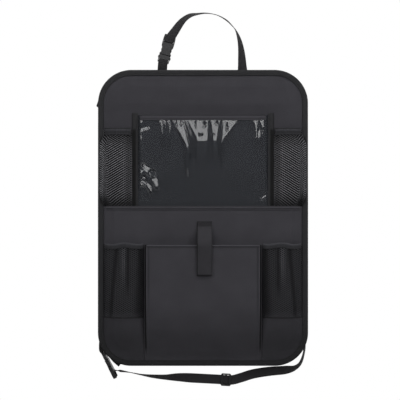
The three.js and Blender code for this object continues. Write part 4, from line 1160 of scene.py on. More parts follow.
def upper_point(u, z):
    """Right-hand upper pocket: u is 0 at the window's tape and 1 at the binding, less and more where sewn in."""
    outer = edge_x(z, RIM_INSET)
    opened = edge_x(z, BINDING_EDGE)
    if u < 0:
        return mix(UPPER_TAPE, UPPER_UNDER_TAPE, -u), UPPER_BASE, z
    if u > 1:
        return mix(opened, outer, u - 1), UPPER_BASE, z
    down = (UPPER_TOP - z) / (UPPER_TOP - UPPER_FOOT)
    belly = mix(0.62, 1, smooth(down, 0, 0.35)) * (1 - smooth(down, 0.45, 0.93))
    rise = UPPER_DEPTH * crown(u, 0.7 if u < 0.5 else 0.5)
    return mix(UPPER_TAPE, opened, u), UPPER_BASE - rise * belly, z


def upper_foot(u):
    return mix(UPPER_FOOT, WIDE_TOP + 2 * GAP, smooth(u, 0.74, 0.88))


ROLL = 11


def overhang(z):
    """How far the net's belly rolls out over the binding, between its mouth and its foot."""
    return ROLL * smooth(UPPER_TOP - UPPER_ELASTIC - z, -2, 22) * smooth(z, UPPER_FOOT + 8, UPPER_FOOT + 40)


def upper_net_place(u, v):
    across = mix(-0.25, 1.12, u)
    z = mix(upper_foot(across), UPPER_TOP - 4, v)
    if across <= 0:
        return upper_point(across, z)
    inner = mix(0, 1.2, overhang(z) / ROLL)
    x, y, z = upper_point(min(across, 1.0), z)
    rolled = edge_x(z, BINDING_EDGE) + overhang(z)
    x = mix(UPPER_TAPE + inner, rolled, min(across, 1.0))
    if across > 1:
        x = mix(rolled, edge_x(z, BINDING_WIDTH - 1), (across - 1) / 0.12)
    over = smooth(x, edge_x(z, BINDING_EDGE + 2), edge_x(z, BINDING_WIDTH - 1))
    shelf = binding_front(z) - 0.7
    return x, min(y, mix(y, shelf, over)) if across <= 1 else shelf, z


def upper_painted_sheen(u, v, family):
    """Painted sheen on the right-hand pocket: strands that fall to the right are painted pale in the middle, the
    others by the rim, and near the window all are painted faintly pale.
    """
    fade = smooth(v, 0.02, 0.3) * (1 - 0.65 * smooth(v, 0.72, 0.97))
    middle = smooth(u, 0.26, 0.4) * (1 - smooth(u, 0.68, 0.78)) * fade
    rim = smooth(u, 0.68, 0.8) * fade
    dots = 0.3 * (1 - smooth(u, 0.3, 0.42)) * fade
    return 0.04 + dots + (0.95 * middle if family < 0 else 0.95 * rim)


UPPER_FLAT = (69 + 10, UPPER_TOP - 4 - UPPER_FOOT)
for side in SIDES:
    painted_sheen = upper_painted_sheen if side == "right" else lambda u, v, family: upper_painted_sheen(1 - u, v, -family)
    net = net_piece(f"upper_net_{side}", UPPER_FLAT, (7.0, 4.95), 0.85, side_place(side, upper_net_place),
                    painted_sheen, NET)
    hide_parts(f"upper_mesh_{side}")


# %% [markdown]
# ## Elastic
# A flat ribbed elastic is folded over the net's mouth. It was sewn on stretched, so when let go it draws the net
# up and ripples a little itself. The fold stands forward as a pale bead, with a second thin line where the tape
# ends. Painted shade darkens the top of the fold and the band below, and a painted highlight lightens the bead.

# %% The upper elastics


# The third column is painted shade, or a painted highlight where negative; crest paints shade along the fold.
UPPER_RELIEF = [(1.0, 0, 0.5), (0.97, 0.05, 0.3), (0.8, 0, 0.3), (0.74, -0.25, 0.5), (0.66, 0, 0.35), (0.5, 0, 0.3),
                (0.41, 0.3, 0), (0.31, 0.6, -0.5), (0.22, 0.3, 0), (0.12, 0, 0.55)]


def upper_elastic_ends(side):
    def ends(u):
        across = mix(0.03, 0.97, u if side == "right" else 1 - u)
        made = []
        for z in (UPPER_TOP, UPPER_TOP - UPPER_ELASTIC):
            x, y, height = upper_point(across, z)
            ripple = 0.35 * math.sin(across * 47) * math.sin(across * 19 + 1)
            made.append(Vector((x if side == "right" else -x, y + NET_WALL / 2 - 0.2 + ripple, height)))
        return made
    return ends


for side in SIDES:
    band = folded_tape(f"upper_band_{side}", 90, upper_elastic_ends(side), NET_WALL + 2 * GAP, ELASTIC,
                       UPPER_RELIEF, crest=0.7)
    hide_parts(f"upper_elastic_{side}")
seam("upper_stitches", [hem_path(upper_elastic_ends(side), NET_WALL / 2 + GAP + TAPE) for side in SIDES],
     length=2.4, gap=1.0)

# %% [markdown]
# ## The wide pocket
# One cloth runs from rim to rim across the lower part, and everything below is sewn to it. It carries very slight
# dents and a soft wave, since the board it is sewn to isn't perfectly tight.

# %% Wide pocket and its hem


def wide_x(u, z):
    kink = edge_x(z, KINK_INSET)
    opened = max(edge_x(z, BINDING_EDGE), kink + 1)
    rim = max(edge_x(z, RIM_INSET), opened + 1)
    size = abs(u)
    if size <= 1:
        return u * kink
    x = mix(kink, opened, size - 1) if size <= 2 else mix(opened, rim, size - 2)
    return math.copysign(x, u)


def wide_waves(x, z):
    """Slack in the cloth between the mouth and the lower pockets."""
    hang = bump_between(z, -50, WIDE_TOP - 6, 0.8)
    drift = math.sin(x * 0.024 + 0.7) * math.sin(z * 0.05 + 1) + 0.5 * math.sin(x * 0.061 - z * 0.03)
    return 0.45 * hang * drift


def wide_place(u, v):
    z = mix(SEWN_FOOT, WIDE_TOP - TAPE - GAP, v)
    x = wide_x(mix(-3, 3, u), z)
    return x, wide_front(x, z) - wide_waves(x, z), z


# Painted shade behind the lower nets and towards the foot.
wide_cloth = finish_object("wide_cloth", cloth_grid(180, 130, wide_place, dim=behind_net("lower_mesh_right", -1)),
                           POCKET_CLOTH, wall=CLOTH)
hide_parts("wide_pocket")

wide_hem_low, wide_hem_high = node_box("wide_pocket_hem")


def wide_hem_ends(u):
    x = mix(wide_hem_low.x + 0.5, wide_hem_high.x - 0.5, u)
    return [Vector((x, wide_front(x, z) + CLOTH / 2, z)) for z in (WIDE_TOP, wide_hem_low.z)]


# The third column is painted shade, or a painted highlight where negative; crest paints shade along the fold.
WIDE_RELIEF = [(1.0, 0, 0), (0.97, 0.05, 0), (0.9, 0, 0), (0.74, 0, 0), (0.66, -0.35, 0.7), (0.6, 0.1, 0.2),
               (0.52, 0.7, -0.4), (0.42, 0.8, -0.35), (0.34, 0.3, 0.2), (0.18, 0, 0.45)]
wide_hem = folded_tape("wide_hem", 140, wide_hem_ends, CLOTH + 2 * GAP, HEM_CLOTH, WIDE_RELIEF, crest=0.4)
print("wide hem from", round(WIDE_TOP, 1), "to", round(wide_hem_low.z, 1))
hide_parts("wide_pocket_hem")
seam("wide_stitches", [hem_path(wide_hem_ends, CLOTH / 2 + GAP + TAPE)])

# %% [markdown]
# ## Lower side pockets
# These are bags: net above, cloth below, with more cloth than the space between the centre pocket and the rim.
# The slack falls into folds, one ridge down the middle with a valley at each side, deepest under the elastic.

# %% The lower pockets' curve
LOWER_DEPTH = 20
LOWER_ELASTIC = 11
centre_low, centre_high = node_box("centre_pocket")
CENTRE_FLANGE = 5
CENTRE_HALF = centre_high.x - CENTRE_FLANGE
CENTRE_TOP = centre_high.z
LOWER_TOP = -53
LOWER_SEAM = node_box("lower_pocket_foot_left")[1].z + GAP / 2
LOWER_INNER = centre_high.x + 0.7


def lower_x(u, z):
    opened = max(edge_x(z, BINDING_EDGE), LOWER_INNER + 8)
    rim = max(edge_x(z, RIM_INSET), opened + 1)
    return mix(opened, rim, u - 1) if u > 1 else mix(LOWER_INNER, opened, u)


def gathers(u, fall):
    lean = u - 0.12 * (1 - fall)
    deep = 2.6 * fall * (math.cos(2 * math.pi * (lean - 0.42) * 2.1) - 1)
    fine = 0.5 * fall * math.sin(u * 41 + 2 * fall) * math.sin(u * 17)
    return (deep + fine) * crown(u, 1)


def lower_belly(u, z):
    if u >= 1 or u <= 0:
        return 0.0
    top = mix(0.66, 1, smooth(-z, -LOWER_TOP, 60 - LOWER_TOP))
    foot = smooth(z, OPEN_FOOT, LOWER_SEAM + 50)
    fall = smooth(z, LOWER_SEAM, LOWER_TOP - 20)
    return max(0.0, (LOWER_DEPTH * crown(u, 0.6) + gathers(u, fall)) * top * foot)


def lower_point(u, z, wall):
    x = lower_x(u, z)
    return x, wide_front(x, z) - LAYER_GAP - wall - lower_belly(u, z), z


def mouth_wave(u):
    return 2.2 * math.cos(2 * math.pi * (u - 0.46) * 1.3) * crown(u, 0.8)


def lower_net_point(u, z):
    wave = mouth_wave(u) * smooth(z, LOWER_TOP - 50, LOWER_TOP - LOWER_ELASTIC)
    x, y, height = lower_point(u, z, NET_WALL)
    return x, y, height + wave


def lower_net_place(u, v):
    return lower_net_point(mix(0.0, 1.7, u), mix(LOWER_SEAM + 0.2, LOWER_TOP - 4, v))


def lower_painted_sheen(u, v, family):
    """Painted highlight on the ridge, painted shade in the fold at each side of it and in the inner corner; the outer
    fold leans out towards the rim. One family is painted a little paler.
    """
    across = 1.7 * u
    ridge = bump_between(across, 0.42, 0.58) * smooth(v, 0.35, 0.8)
    outer = bump_between(across, mix(0.76, 0.6, v), mix(0.88, 0.74, v))
    inner = bump_between(across, 0.33, 0.45) * smooth(v, 0.2, 0.5)
    corner = 1 - smooth(across, 0.08, 0.3 - 0.12 * v)
    return 0.3 + 0.35 * ridge - 0.26 * max(outer, inner, corner) + (0.14 if family < 0 else 0.0)


LOWER_FLAT = (96, LOWER_TOP - 4 - LOWER_SEAM)
for side in SIDES:
    painted_sheen = lower_painted_sheen if side == "right" else lambda u, v, family: lower_painted_sheen(1 - u, v, -family)
    net = net_piece(f"lower_net_{side}", LOWER_FLAT, (5.0, 4.0), 0.8, side_place(side, lower_net_place), painted_sheen,
                    FINE_NET)
    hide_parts(f"lower_mesh_{side}")


# The third column is painted shade, or a painted highlight where negative; crest paints a highlight along the fold.
LOWER_RELIEF = [(1.0, 0, 0.8), (0.95, 0.05, 0.5), (0.8, 0, 0.25), (0.74, -0.25, 0.4), (0.6, 0, 0.2), (0.35, 0.1, 0.05),
                (0.16, 0.3, -0.35)]


def lower_elastic_ends(side):
    def ends(u):
        across = mix(0.02, 0.98, u if side == "right" else 1 - u)
        made = []
        for z in (LOWER_TOP, LOWER_TOP - LOWER_ELASTIC):
            x, y, height = lower_net_point(across, z)
            ripple = 0.4 * math.sin(across * 43 + 1) * math.sin(across * 15)
            made.append(Vector((x if side == "right" else -x, y + NET_WALL / 2 - 0.2 + ripple, height)))
        return made
    return ends


for side in SIDES:
    band = folded_tape(f"lower_band_{side}", 110, lower_elastic_ends(side), NET_WALL + 2 * GAP, ELASTIC,
                       LOWER_RELIEF, crest=-0.3)
    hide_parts(f"lower_elastic_{side}")

# %% The cloth feet of the lower pockets


def foot_place(u, v):
    z = mix(SEWN_FOOT, LOWER_SEAM - GAP / 2, v)
    across = mix(0.0, 1.9, u)
    x, y, z = lower_point(across, z, CLOTH)
    overhang = 0.9 * smooth(v, 0.9, 1.0)
    crease = 0.5 * math.sin(x * 0.11 + z * 0.07) * bump_between(v, 0, 1) * crown(across, 1)
    return x, y - overhang - crease, z


def foot_shade(x, z, v):
    """Painted shadow along the seam under the net, a little painted shade all over, and more painted shade towards the
    bottom.
    """
    return 0.7 * smooth(z, LOWER_SEAM - 3.4, LOWER_SEAM - 1) + 0.16 + painted_foot_shade(z)


for side in SIDES:
    foot = finish_object(f"lower_foot_{side}", cloth_grid(80, 80, side_place(side, foot_place), dim=foot_shade),
                         POCKET_CLOTH, wall=CLOTH)
    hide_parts(f"lower_pocket_foot_{side}")

FOOT_ROW = (LOWER_SEAM - 3 - SEWN_FOOT) / (LOWER_SEAM - GAP / 2 - SEWN_FOOT)


def foot_row(side):
    place = side_place(side, foot_place)

    def rule(t):
        x, y, z = place(mix(0.03, 0.5, t) if side == "right" else mix(0.5, 0.97, t), FOOT_ROW)
        return x, y - 0.1, z
    return ruled_path(rule)


lower_rows = [hem_path(lower_elastic_ends(side), NET_WALL / 2 + GAP + TAPE) for side in SIDES]
seam("lower_stitches", lower_rows + [foot_row(side) for side in SIDES], length=2.4, gap=1.0)

# %% [markdown]
# ## The centre pocket
# One cloth makes the flange, the pleated side and the front. Where the side meets the front the cloth is pressed
# to a ridge and topstitched, and the pleat tucks in behind it, so each edge shows a pale line with a black groove
# beside it. A painted highlight on the ridge and painted shade down the pleat strengthen both.

# %% The centre pocket's section at each height
CENTRE_DEPTH = 18
CENTRE_CROWN = 2.4
CENTRE_PLEAT = 6


def centre_depth(z):
    return max(0.2, CENTRE_DEPTH * smooth(z, OPEN_FOOT, OPEN_FOOT + 120))


def centre_seat(z):
    return wide_front(CENTRE_HALF, z) - LAYER_GAP - CLOTH / 2


def centre_half_line(z):
    """The right half of the section from the flange to the middle: (x, how far it stands off the wide pocket)."""
    depth = centre_depth(z)
    pleat = CENTRE_PLEAT * (depth / CENTRE_DEPTH) ** 1.5
    opened = smooth(z, OPEN_FOOT, OPEN_FOOT + 20)
    ridge = 0.8 * opened
    line = [(CENTRE_HALF + CENTRE_FLANGE, 0.0), (CENTRE_HALF + 2.5, 0.0), (CENTRE_HALF + 0.6, 0.02 * depth)]
    for share in (0.12, 0.25, 0.38, 0.5, 0.62, 0.75, 0.88):
        tuck = pleat * (1 - abs(share - 0.5) * 2) ** 0.85
        line.append((CENTRE_HALF + 0.4 - tuck, depth * share))
    line += [(CENTRE_HALF + 0.2, depth * 0.96), (CENTRE_HALF + 0.1, depth + ridge * 0.5),
             (CENTRE_HALF - 0.9, depth + ridge), (CENTRE_HALF - 2.1, depth + ridge * 0.7),
             (CENTRE_HALF - 3.2, depth + 0.05)]
    for number in range(1, 25):
        x = (CENTRE_HALF - 3.2) * (1 - number / 24)
        rise = CENTRE_CROWN * (1 - (x / CENTRE_HALF) ** 2) ** 0.8 * opened
        line.append((x, depth + rise))
    return line


CENTRE_POINTS = len(centre_half_line(-100)) * 2 - 2


def centre_place(u, v):
    z = mix(SEWN_FOOT, CENTRE_TOP, v)
    half = centre_half_line(z)
    number = round(u * CENTRE_POINTS)
    last = len(half) - 1
    x, rise = half[last - abs(number - last)]
    x = -x if number < last else x
    slack = 0.5 * math.sin(x * 0.03 + 1) * math.sin(z * 0.028) * bump_between(x, -105, 105)
    return x, centre_seat(z) - rise - slack - CLOTH / 2, z


RIDGE = CENTRE_HALF - 3.2


def centre_lay(u, v):
    number = round(u * CENTRE_POINTS)
    return (number - CENTRE_POINTS / 2) * 4.0, mix(SEWN_FOOT, CENTRE_TOP, v)


def centre_dim(bm):
    """Painted shade: black down the pleats, a dark line along the stitched row inside each ridge and under the hem,
    and darker towards the foot; a painted highlight on each ridge's crest.
    """
    layer = bm.verts.layers.float.new("fold")
    for vert in bm.verts:
        x, y, z = vert.co / MM
        behind = smooth(centre_depth(z) - (centre_seat(z) - CLOTH / 2 - y), 0.3, 2.5)
        pleat = smooth(abs(x), CENTRE_HALF - 8, CENTRE_HALF - 0.2) * (abs(x) < CENTRE_HALF + 4)
        upper = smooth(z, -230, -150)
        line = 0.45 * bump_between(abs(x), RIDGE - 1, RIDGE + 1) * upper
        crest = -0.3 * bump_between(abs(x), RIDGE + 1, CENTRE_HALF + 0.3) * upper
        hem = 0.55 * bump_between(z, CENTRE_TOP - 6, CENTRE_TOP - 1.6)
        vert[layer] = mix(max(line, hem) + crest + painted_foot_shade(z), 0.98 * pleat, behind)
    return bm


centre = finish_object("centre_cloth", centre_dim(cloth_grid(CENTRE_POINTS, 140, centre_place, centre_lay)),
                       POCKET_CLOTH, wall=CLOTH)
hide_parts("centre_pocket")

# %% Its hem: the cloth's own top turned in, a bead and a row of stitches
CENTRE_HEM = 10


def centre_front(x, z):
    half = centre_half_line(z)
    for (far_x, far_rise), (near_x, near_rise) in zip(half[14:], half[15:]):
        if near_x <= abs(x) <= far_x:
            share = (far_x - abs(x)) / max(1e-6, far_x - near_x)
            return centre_seat(z) - mix(far_rise, near_rise, share) - CLOTH / 2
    return centre_seat(z) - half[-1][1] - CLOTH / 2


def centre_bead_place(u, v):
    """A round bead along the mouth, from edge to edge."""
    x = mix(-CENTRE_HALF + 0.5, CENTRE_HALF - 0.5, u)
    angle = 2 * math.pi * v
    y = centre_front(min(abs(x), CENTRE_HALF - 3.3), CENTRE_TOP) + CLOTH / 2
    return x, y - 1.15 * math.cos(angle), CENTRE_TOP - 1.15 + 1.15 * math.sin(angle)


# The bead's colour carries a painted highlight all along.
centre_bead = finish_object("centre_hem", closed_ring(cloth_grid(110, 12, centre_bead_place,
                            lambda u, v: (v * 7, u * 235), lambda x, z, v: -0.45)), POCKET_CLOTH)


def centre_row(start, end):
    """A straight row on the pocket's front, from one (x, z) to another."""
    def rule(t):
        x, z = mix(start[0], end[0], t), mix(start[1], end[1], t)
        return x, centre_front(x, z) - 0.1, z
    return ruled_path(rule)


seam("centre_stitches", [centre_row((-RIDGE, CENTRE_TOP - 7), (RIDGE, CENTRE_TOP - 7)),
                         centre_row((-RIDGE, OPEN_FOOT + 24), (-RIDGE, CENTRE_TOP - 4)),
                         centre_row((RIDGE, OPEN_FOOT + 24), (RIDGE, CENTRE_TOP - 4))])

# Two bar tacks keep the mouth's corners from tearing
seam("bar_tacks", [line_path((x - 3.5, centre_front(104, z) - 0.2, z), (x + 3.5, centre_front(104, z) - 0.2, z))
                   for x, z in ((-108.5, -49.5), (107, -48))], length=0.9, gap=-0.25, thick=1.5)

# %% [markdown]
# ## The closure tab
# A doubled strip of cloth is sewn to the wide pocket and hangs over the centre pocket's mouth, where hook and loop
# patches hold it. Its edges are turned in and stitched, and its head is flattened by a sewn box.

# %% Tab and patches
tab_low, tab_high = node_box("closure_tab")
TAB_SEWN = 13
TAB_WALL = 2.0
hook_low, hook_high = node_box("closure_hook_patch")
TAB_LINE = [
    (wide_front(0, tab_high.z) - GAP, tab_high.z),
    (wide_front(0, tab_high.z) - GAP, tab_high.z - TAB_SEWN),
    (mix(FIRST_CLOTH - WIDE_DEPTH, hook_low.y - GAP, 0.3), tab_high.z - TAB_SEWN - 9),
    (mix(FIRST_CLOTH - WIDE_DEPTH, hook_low.y - GAP, 0.78), CENTRE_TOP + 15),
    (hook_low.y - GAP - 1, CENTRE_TOP + 2),
    (hook_low.y - GAP, CENTRE_TOP - 14),
    (hook_low.y - GAP, tab_low.z),
]


def tab_back(z):
    for (y_high, z_high), (y_low, z_low) in zip(TAB_LINE, TAB_LINE[1:]):
        if z_low <= z <= z_high:
            return mix(y_low, y_high, (z - z_low) / (z_high - z_low))
    return TAB_LINE[-1][0]


def tab_soft_back(z):
    near = [tab_back(clamp(z + step, tab_low.z, tab_high.z)) for step in (-5, -2.5, 0, 2.5, 5)]
    return sum(near) / len(near)


def tab_place(u, v):
    z = mix(tab_low.z, tab_high.z, v)
    x = mix(tab_low.x, tab_high.x, u)
    edge = min(x - tab_low.x, tab_high.x - x)
    foot = z - tab_low.z
    round_off = 0.8 * (1 - smooth(min(edge, foot, tab_high.z - z), 0, 1.6))
    groove = 0.35 * bump_between(min(edge, foot), 2.4, 4.2)
    sewn = z - (tab_high.z - TAB_SEWN)
    head = 0.45 * bump_between(abs(sewn - 5.5), 3.2, 5.2) if sewn > 0 else 0.0
    puff = 0.5 * bump_between(u, 0.15, 0.85)
    return x, tab_soft_back(z) - TAB_WALL + round_off + groove + head - puff * smooth(-sewn, 0, 10), z


def tab_dim(x, z, v):
    """Painted shadow along the turned edges where the tab stands off the pocket, most at the left and at the foot,
    less at the right; the sewn head is a little darker too.
    """
    left = 0.9 * (1 - smooth(x - tab_low.x, 0.9, 2.4)) * (1 - smooth(z, tab_high.z - 5, tab_high.z))
    right = 0.4 * (1 - smooth(tab_high.x - x, 0.5, 1.8))
    foot = 0.8 * (1 - smooth(z - tab_low.z, 0.8, 2.4))
    return max(left, right, foot, 0.35 * smooth(z, tab_high.z - 12, tab_high.z - 10))


tab = finish_object("closure_tab_cloth", cloth_grid(40, 110, tab_place, dim=tab_dim), TAB_CLOTH,
                    wall=TAB_WALL * 0.8)
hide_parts("closure_tab")


def tab_row(start, end):
    """A row on the tab between two places given as millimetres in from its left side and up from its foot."""
    def rule(t):
        across = mix(start[0], end[0], t) / (tab_high.x - tab_low.x)
        up = mix(start[1], end[1], t) / (tab_high.z - tab_low.z)
        x, y, z = tab_place(across, up)
        return x, y - 0.1, z
    return ruled_path(rule, 24)


TAB_WIDE = tab_high.x - tab_low.x
TAB_LONG = tab_high.z - tab_low.z
TAB_CORNERS = [(3.3, TAB_LONG - 2.6), (TAB_WIDE - 3.3, TAB_LONG - 2.6), (TAB_WIDE - 3.3, TAB_LONG - TAB_SEWN + 2),
               (3.3, TAB_LONG - TAB_SEWN + 2)]
tab_rows = [tab_row(a, b) for a, b in zip(TAB_CORNERS, TAB_CORNERS[1:] + TAB_CORNERS[:1])]
tab_rows += [tab_row((3.3, 3.3), (3.3, TAB_LONG - TAB_SEWN)), tab_row((3.3, 3.3), (TAB_WIDE - 3.3, 3.3)),
             tab_row((TAB_WIDE - 3.3, 3.3), (TAB_WIDE - 3.3, TAB_LONG - TAB_SEWN))]
seam("tab_stitches", tab_rows, length=2.4, gap=1.0)

# %% [markdown]
# ## Webbing
# Webbing is a flat band about 1.4 mm thick. The frame gives each strap as a solid along its route, so the route is
# repeated here from the same few places, with a smooth curve through them, and the band's section is carried along
# it and turned where the strap turns edge-on.

# %% A band along a route
STRAP = 1.4
STRAP_WIDTH = 20.0


def catmull(points, count):
    """Places and ways along a centripetal Catmull-Rom curve through points, count steps in all."""
    ends = [points[0] * 2 - points[1]] + points + [points[-1] * 2 - points[-2]]
    spans = len(points) - 1
    made = []
    for number in range(count + 1):
        along = number / count * spans
        span = min(int(along), spans - 1)
        p = ends[span:span + 4]
        knots = [0.0]
        for a, b in zip(p, p[1:]):
            knots.append(knots[-1] + max(1e-6, (b - a).length) ** 0.5)
        t = mix(knots[1], knots[2], along - span)
        a = [p[i] * ((knots[i + 1] - t) / (knots[i + 1] - knots[i])) +
             p[i + 1] * ((t - knots[i]) / (knots[i + 1] - knots[i])) for i in range(3)]
        b = [a[i] * ((knots[i + 2] - t) / (knots[i + 2] - knots[i])) +
             a[i + 1] * ((t - knots[i]) / (knots[i + 2] - knots[i])) for i in range(2)]
        made.append(b[0] * ((knots[2] - t) / (knots[2] - knots[1])) + b[1] * ((t - knots[1]) / (knots[2] - knots[1])))
    return made


# A webbing's section: round selvedges and a flat middle, as (share of the half width, share of the half thickness)
BAND_SECTION = []
for number in range(28):
    angle = 2 * math.pi * number / 28
    BAND_SECTION.append((abs(math.cos(angle)) ** 0.35 * math.copysign(1, math.cos(angle)),
                         abs(math.sin(angle)) ** 0.6 * math.copysign(1, math.sin(angle))))


STEPS = 8


def key_widths(keys):
    """The way the band's width points at each key: given, or turned by so many degrees out of the picture."""
    places = [Vector(place) for place, _ in keys]
    widths = []
    for number, (_, turn) in enumerate(keys):
        if isinstance(turn, Vector):
            width = turn.normalized()
        else:
            way = (places[min(number + 1, len(keys) - 1)] - places[max(number - 1, 0)]).normalized()
            width = Matrix.Rotation(math.radians(turn), 3, way) @ way.cross(Vector((0, 1, 0))).normalized()
        if widths and width.dot(widths[-1]) < 0:
            width = -width
        widths.append(width)
    return widths


def band(name, node, keys, body="organizer"):
    """A strap through keys of (place, turn), which stands for a node. With body None it is attached to no body."""
    widths = key_widths(keys)
    count = STEPS * (len(keys) - 1)
    route = catmull([Vector(place) for place, _ in keys], count)
    frames = []
    travelled = 0.0
    for number, spot in enumerate(route):
        ahead = route[min(number + 1, count)]
        behind = route[max(number - 1, 0)]
        way = (ahead - behind).normalized()
        span = min(number // STEPS, len(keys) - 2)
        width = widths[span].lerp(widths[span + 1], number / STEPS - span)
        width = (width - way * width.dot(way)).normalized()
        travelled += (spot - behind).length if number else 0.0
        frames.append((spot, width, way.cross(width), travelled))

    def place(u, v):
        spot, width, thick, _ = frames[round(v * count)]
        wide, deep = BAND_SECTION[round(u * 28) % 28]
        point = spot + width * (wide * STRAP_WIDTH / 2) + thick * (deep * STRAP / 2)
        return point.x, point.y, point.z

    def lay(u, v):
        wide, _ = BAND_SECTION[round(u * 28) % 28]
        return wide * STRAP_WIDTH / 2 + 10, frames[round(v * count)][3]
    bm = cloth_grid(28, count, place, lay)
    bmesh.ops.remove_doubles(bm, verts=bm.verts, dist=0.002 * MM)
    bmesh.ops.holes_fill(bm, edges=[e for e in bm.edges if e.is_boundary], sides=0)
    bmesh.ops.recalc_face_normals(bm, faces=bm.faces)
    piece = finish_object(name, bm, WEBBING, body=body)
    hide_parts(node)
    print(name, round(travelled), "mm of webbing")
    return piece


class BuckleFrame:
    """A buckle's own directions: z along the strap from the socket's mouth, x across it."""

    def __init__(self, place, way, turn):
        self.place = Vector(place)
        self.along = Vector(way).normalized()
        across = Vector((0, 1, 0)).cross(self.along).normalized()
        self.across = Matrix.Rotation(math.radians(turn), 3, self.along) @ across
        self.through = self.along.cross(self.across)

    def spot(self, x, y, z):
        return self.place + self.across * x + self.through * y + self.along * z


FIT = 0.3
BAR = 3.4
SLOT_HEIGHT = 4.6
SOCKET_LENGTH = 44
PLUG_LENGTH = 16
SOCKET_SLOT = 26.5
SOCKET_BAR = SOCKET_SLOT + SLOT_HEIGHT
PLUG_BAR = -PLUG_LENGTH + BAR
LEG = BAR / 2 + FIT + STRAP / 2
OVER = FIT + STRAP / 2
STRAP_SEWN = 36
SEWN_LOW = HALF_HEIGHT - STRAP_SEWN
BACK_LAY = GAP + STRAP / 2
TOP_FOOT_X = 84
TOP_LOOP_HEIGHT = 120
top_frame = BuckleFrame((4.2 - TOP_FOOT_X, 0, HALF_HEIGHT + 31), (0.268, 0, 0.963), 0)
bottom_frame = BuckleFrame((16.8 - HALF_WIDTH, 8, 12.5 - HALF_HEIGHT), (0.447, 0, -0.894), 90)


def buckle_keys(frame_of, rows):
    """Keys beside a buckle, each as (how far behind its middle, how far along it)."""
    return [(frame_of.spot(0, y, z), frame_of.across) for y, z in rows]


def plain_keys(rows):
    return [((x, y, z), turn) for x, y, z, turn in rows]


# The webbing goes round each bar: up to it in front, over it, and back behind, where the end is sewn down. The
# loop is slack enough to fill the slot.
PLUG_FOLD = [(-LEG, -PLUG_LENGTH - 8), (-LEG, -PLUG_LENGTH), (-LEG, PLUG_BAR - 0.6), (-LEG + 0.2, PLUG_BAR + 2.2),
             (0, PLUG_BAR + 3.7), (LEG - 0.2, PLUG_BAR + 2.2), (LEG, PLUG_BAR - 0.6), (LEG, -PLUG_LENGTH),
             (LEG, -PLUG_LENGTH - 9)]
SOCKET_FOLD = [(-LEG, SOCKET_LENGTH + 1), (-LEG, SOCKET_BAR + 3), (-LEG, SOCKET_BAR - 0.2),
               (-LEG + 0.2, SOCKET_BAR - 2.4), (0, SOCKET_BAR - 3.8), (LEG - 0.2, SOCKET_BAR - 2.4),
               (LEG, SOCKET_BAR), (LEG, SOCKET_LENGTH - 4), (LEG, SOCKET_LENGTH)]

# %% The top straps
top_short = band("top_band_short", "top_strap_short", plain_keys([
    (-TOP_FOOT_X - 1, BACK_LAY, SEWN_LOW, 0),
    (-TOP_FOOT_X - 1, BACK_LAY, HALF_HEIGHT - 14, 0),
    (-TOP_FOOT_X - 1.5, BACK_LAY - 0.3, HALF_HEIGHT - 2, 0),
    (-TOP_FOOT_X - 1, -LEG / 2, HALF_HEIGHT + 7, 0),
]) + buckle_keys(top_frame, PLUG_FOLD[1:-1] + [(LEG, -PLUG_LENGTH - 5)]))

# Places on the loop above the panel: shares of the foot's distance and of the loop's height, and the turn
TOP_LOOP = [
    (0.983, 1.6, 0.083, 24), (0.975, 2.2, 0.2, 34), (0.953, 2.6, 0.383, 50), (0.905, 3, 0.55, 64),
    (0.818, 3, 0.704, 80), (0.71, 3, 0.795, 86), (0.6, 3, 0.87, 88), (0.35, 3, 0.967, 82), (0.07, 3, 1.0, 76),
    (-0.15, 3, 0.985, 69), (-0.319, 3, 0.961, 56), (-0.471, 2, 0.893, 47), (-0.581, 0.8, 0.807, 36),
    (-0.683, -0.8, 0.701, 24), (-0.786, -LEG, 0.594, 8),
]
top_long = band("top_band_long", "top_strap_long", plain_keys([
    (TOP_FOOT_X - 1, BACK_LAY, SEWN_LOW, 0),
    (TOP_FOOT_X - 1, BACK_LAY, HALF_HEIGHT - 14, 0),
    (TOP_FOOT_X - 1, BACK_LAY, HALF_HEIGHT - 2, 4),
] + [(u * TOP_FOOT_X, y, HALF_HEIGHT + rise * TOP_LOOP_HEIGHT, turn) for u, y, rise, turn in TOP_LOOP])
    + buckle_keys(top_frame, SOCKET_FOLD[1:]), body=None)

# %% The bottom straps


def round_the_side(sign):
    rows = [(18, BACK_LAY, 105, 0), (17, BACK_LAY, 80, 0), (14, 3.6, 67, 13), (9.5, 7, 54, 46), (6, 8.6, 43, 73)]
    return [(sign * (HALF_WIDTH - inset), y, rise - HALF_HEIGHT, turn) for inset, y, rise, turn in rows]


# The end left over beyond the plug's bar turns in behind the panel's corner, and one corner of it looks out below
LEFT_OVER = [(-171, 3.8, -305.5, 0), (-180, 4.4, -298, 10), (-190, 5.8, -289, 38), (-199, 7.4, -282.5, 70)]
bottom_short = band("bottom_band_short", "bottom_strap_short", plain_keys(LEFT_OVER) + buckle_keys(
    bottom_frame, [(LEG + 0.6, -PLUG_LENGTH + 0.4)] + PLUG_FOLD[2:7][::-1]) + plain_keys(
    [(-213.6, 8.4, -279, 66)] + round_the_side(-1)[-2::-1]))

SLIDE_FROM = Vector((60, 4, -HALF_HEIGHT - 31.3))
SLIDE_TO = Vector((-52, 4, -HALF_HEIGHT - 25.5))


def on_slide(x):
    return SLIDE_FROM.lerp(SLIDE_TO, (x - SLIDE_FROM.x) / (SLIDE_TO.x - SLIDE_FROM.x))


def hanging(rows):
    return [(u * HALF_WIDTH, y, -HALF_HEIGHT - drop, turn) for u, y, drop, turn in rows]


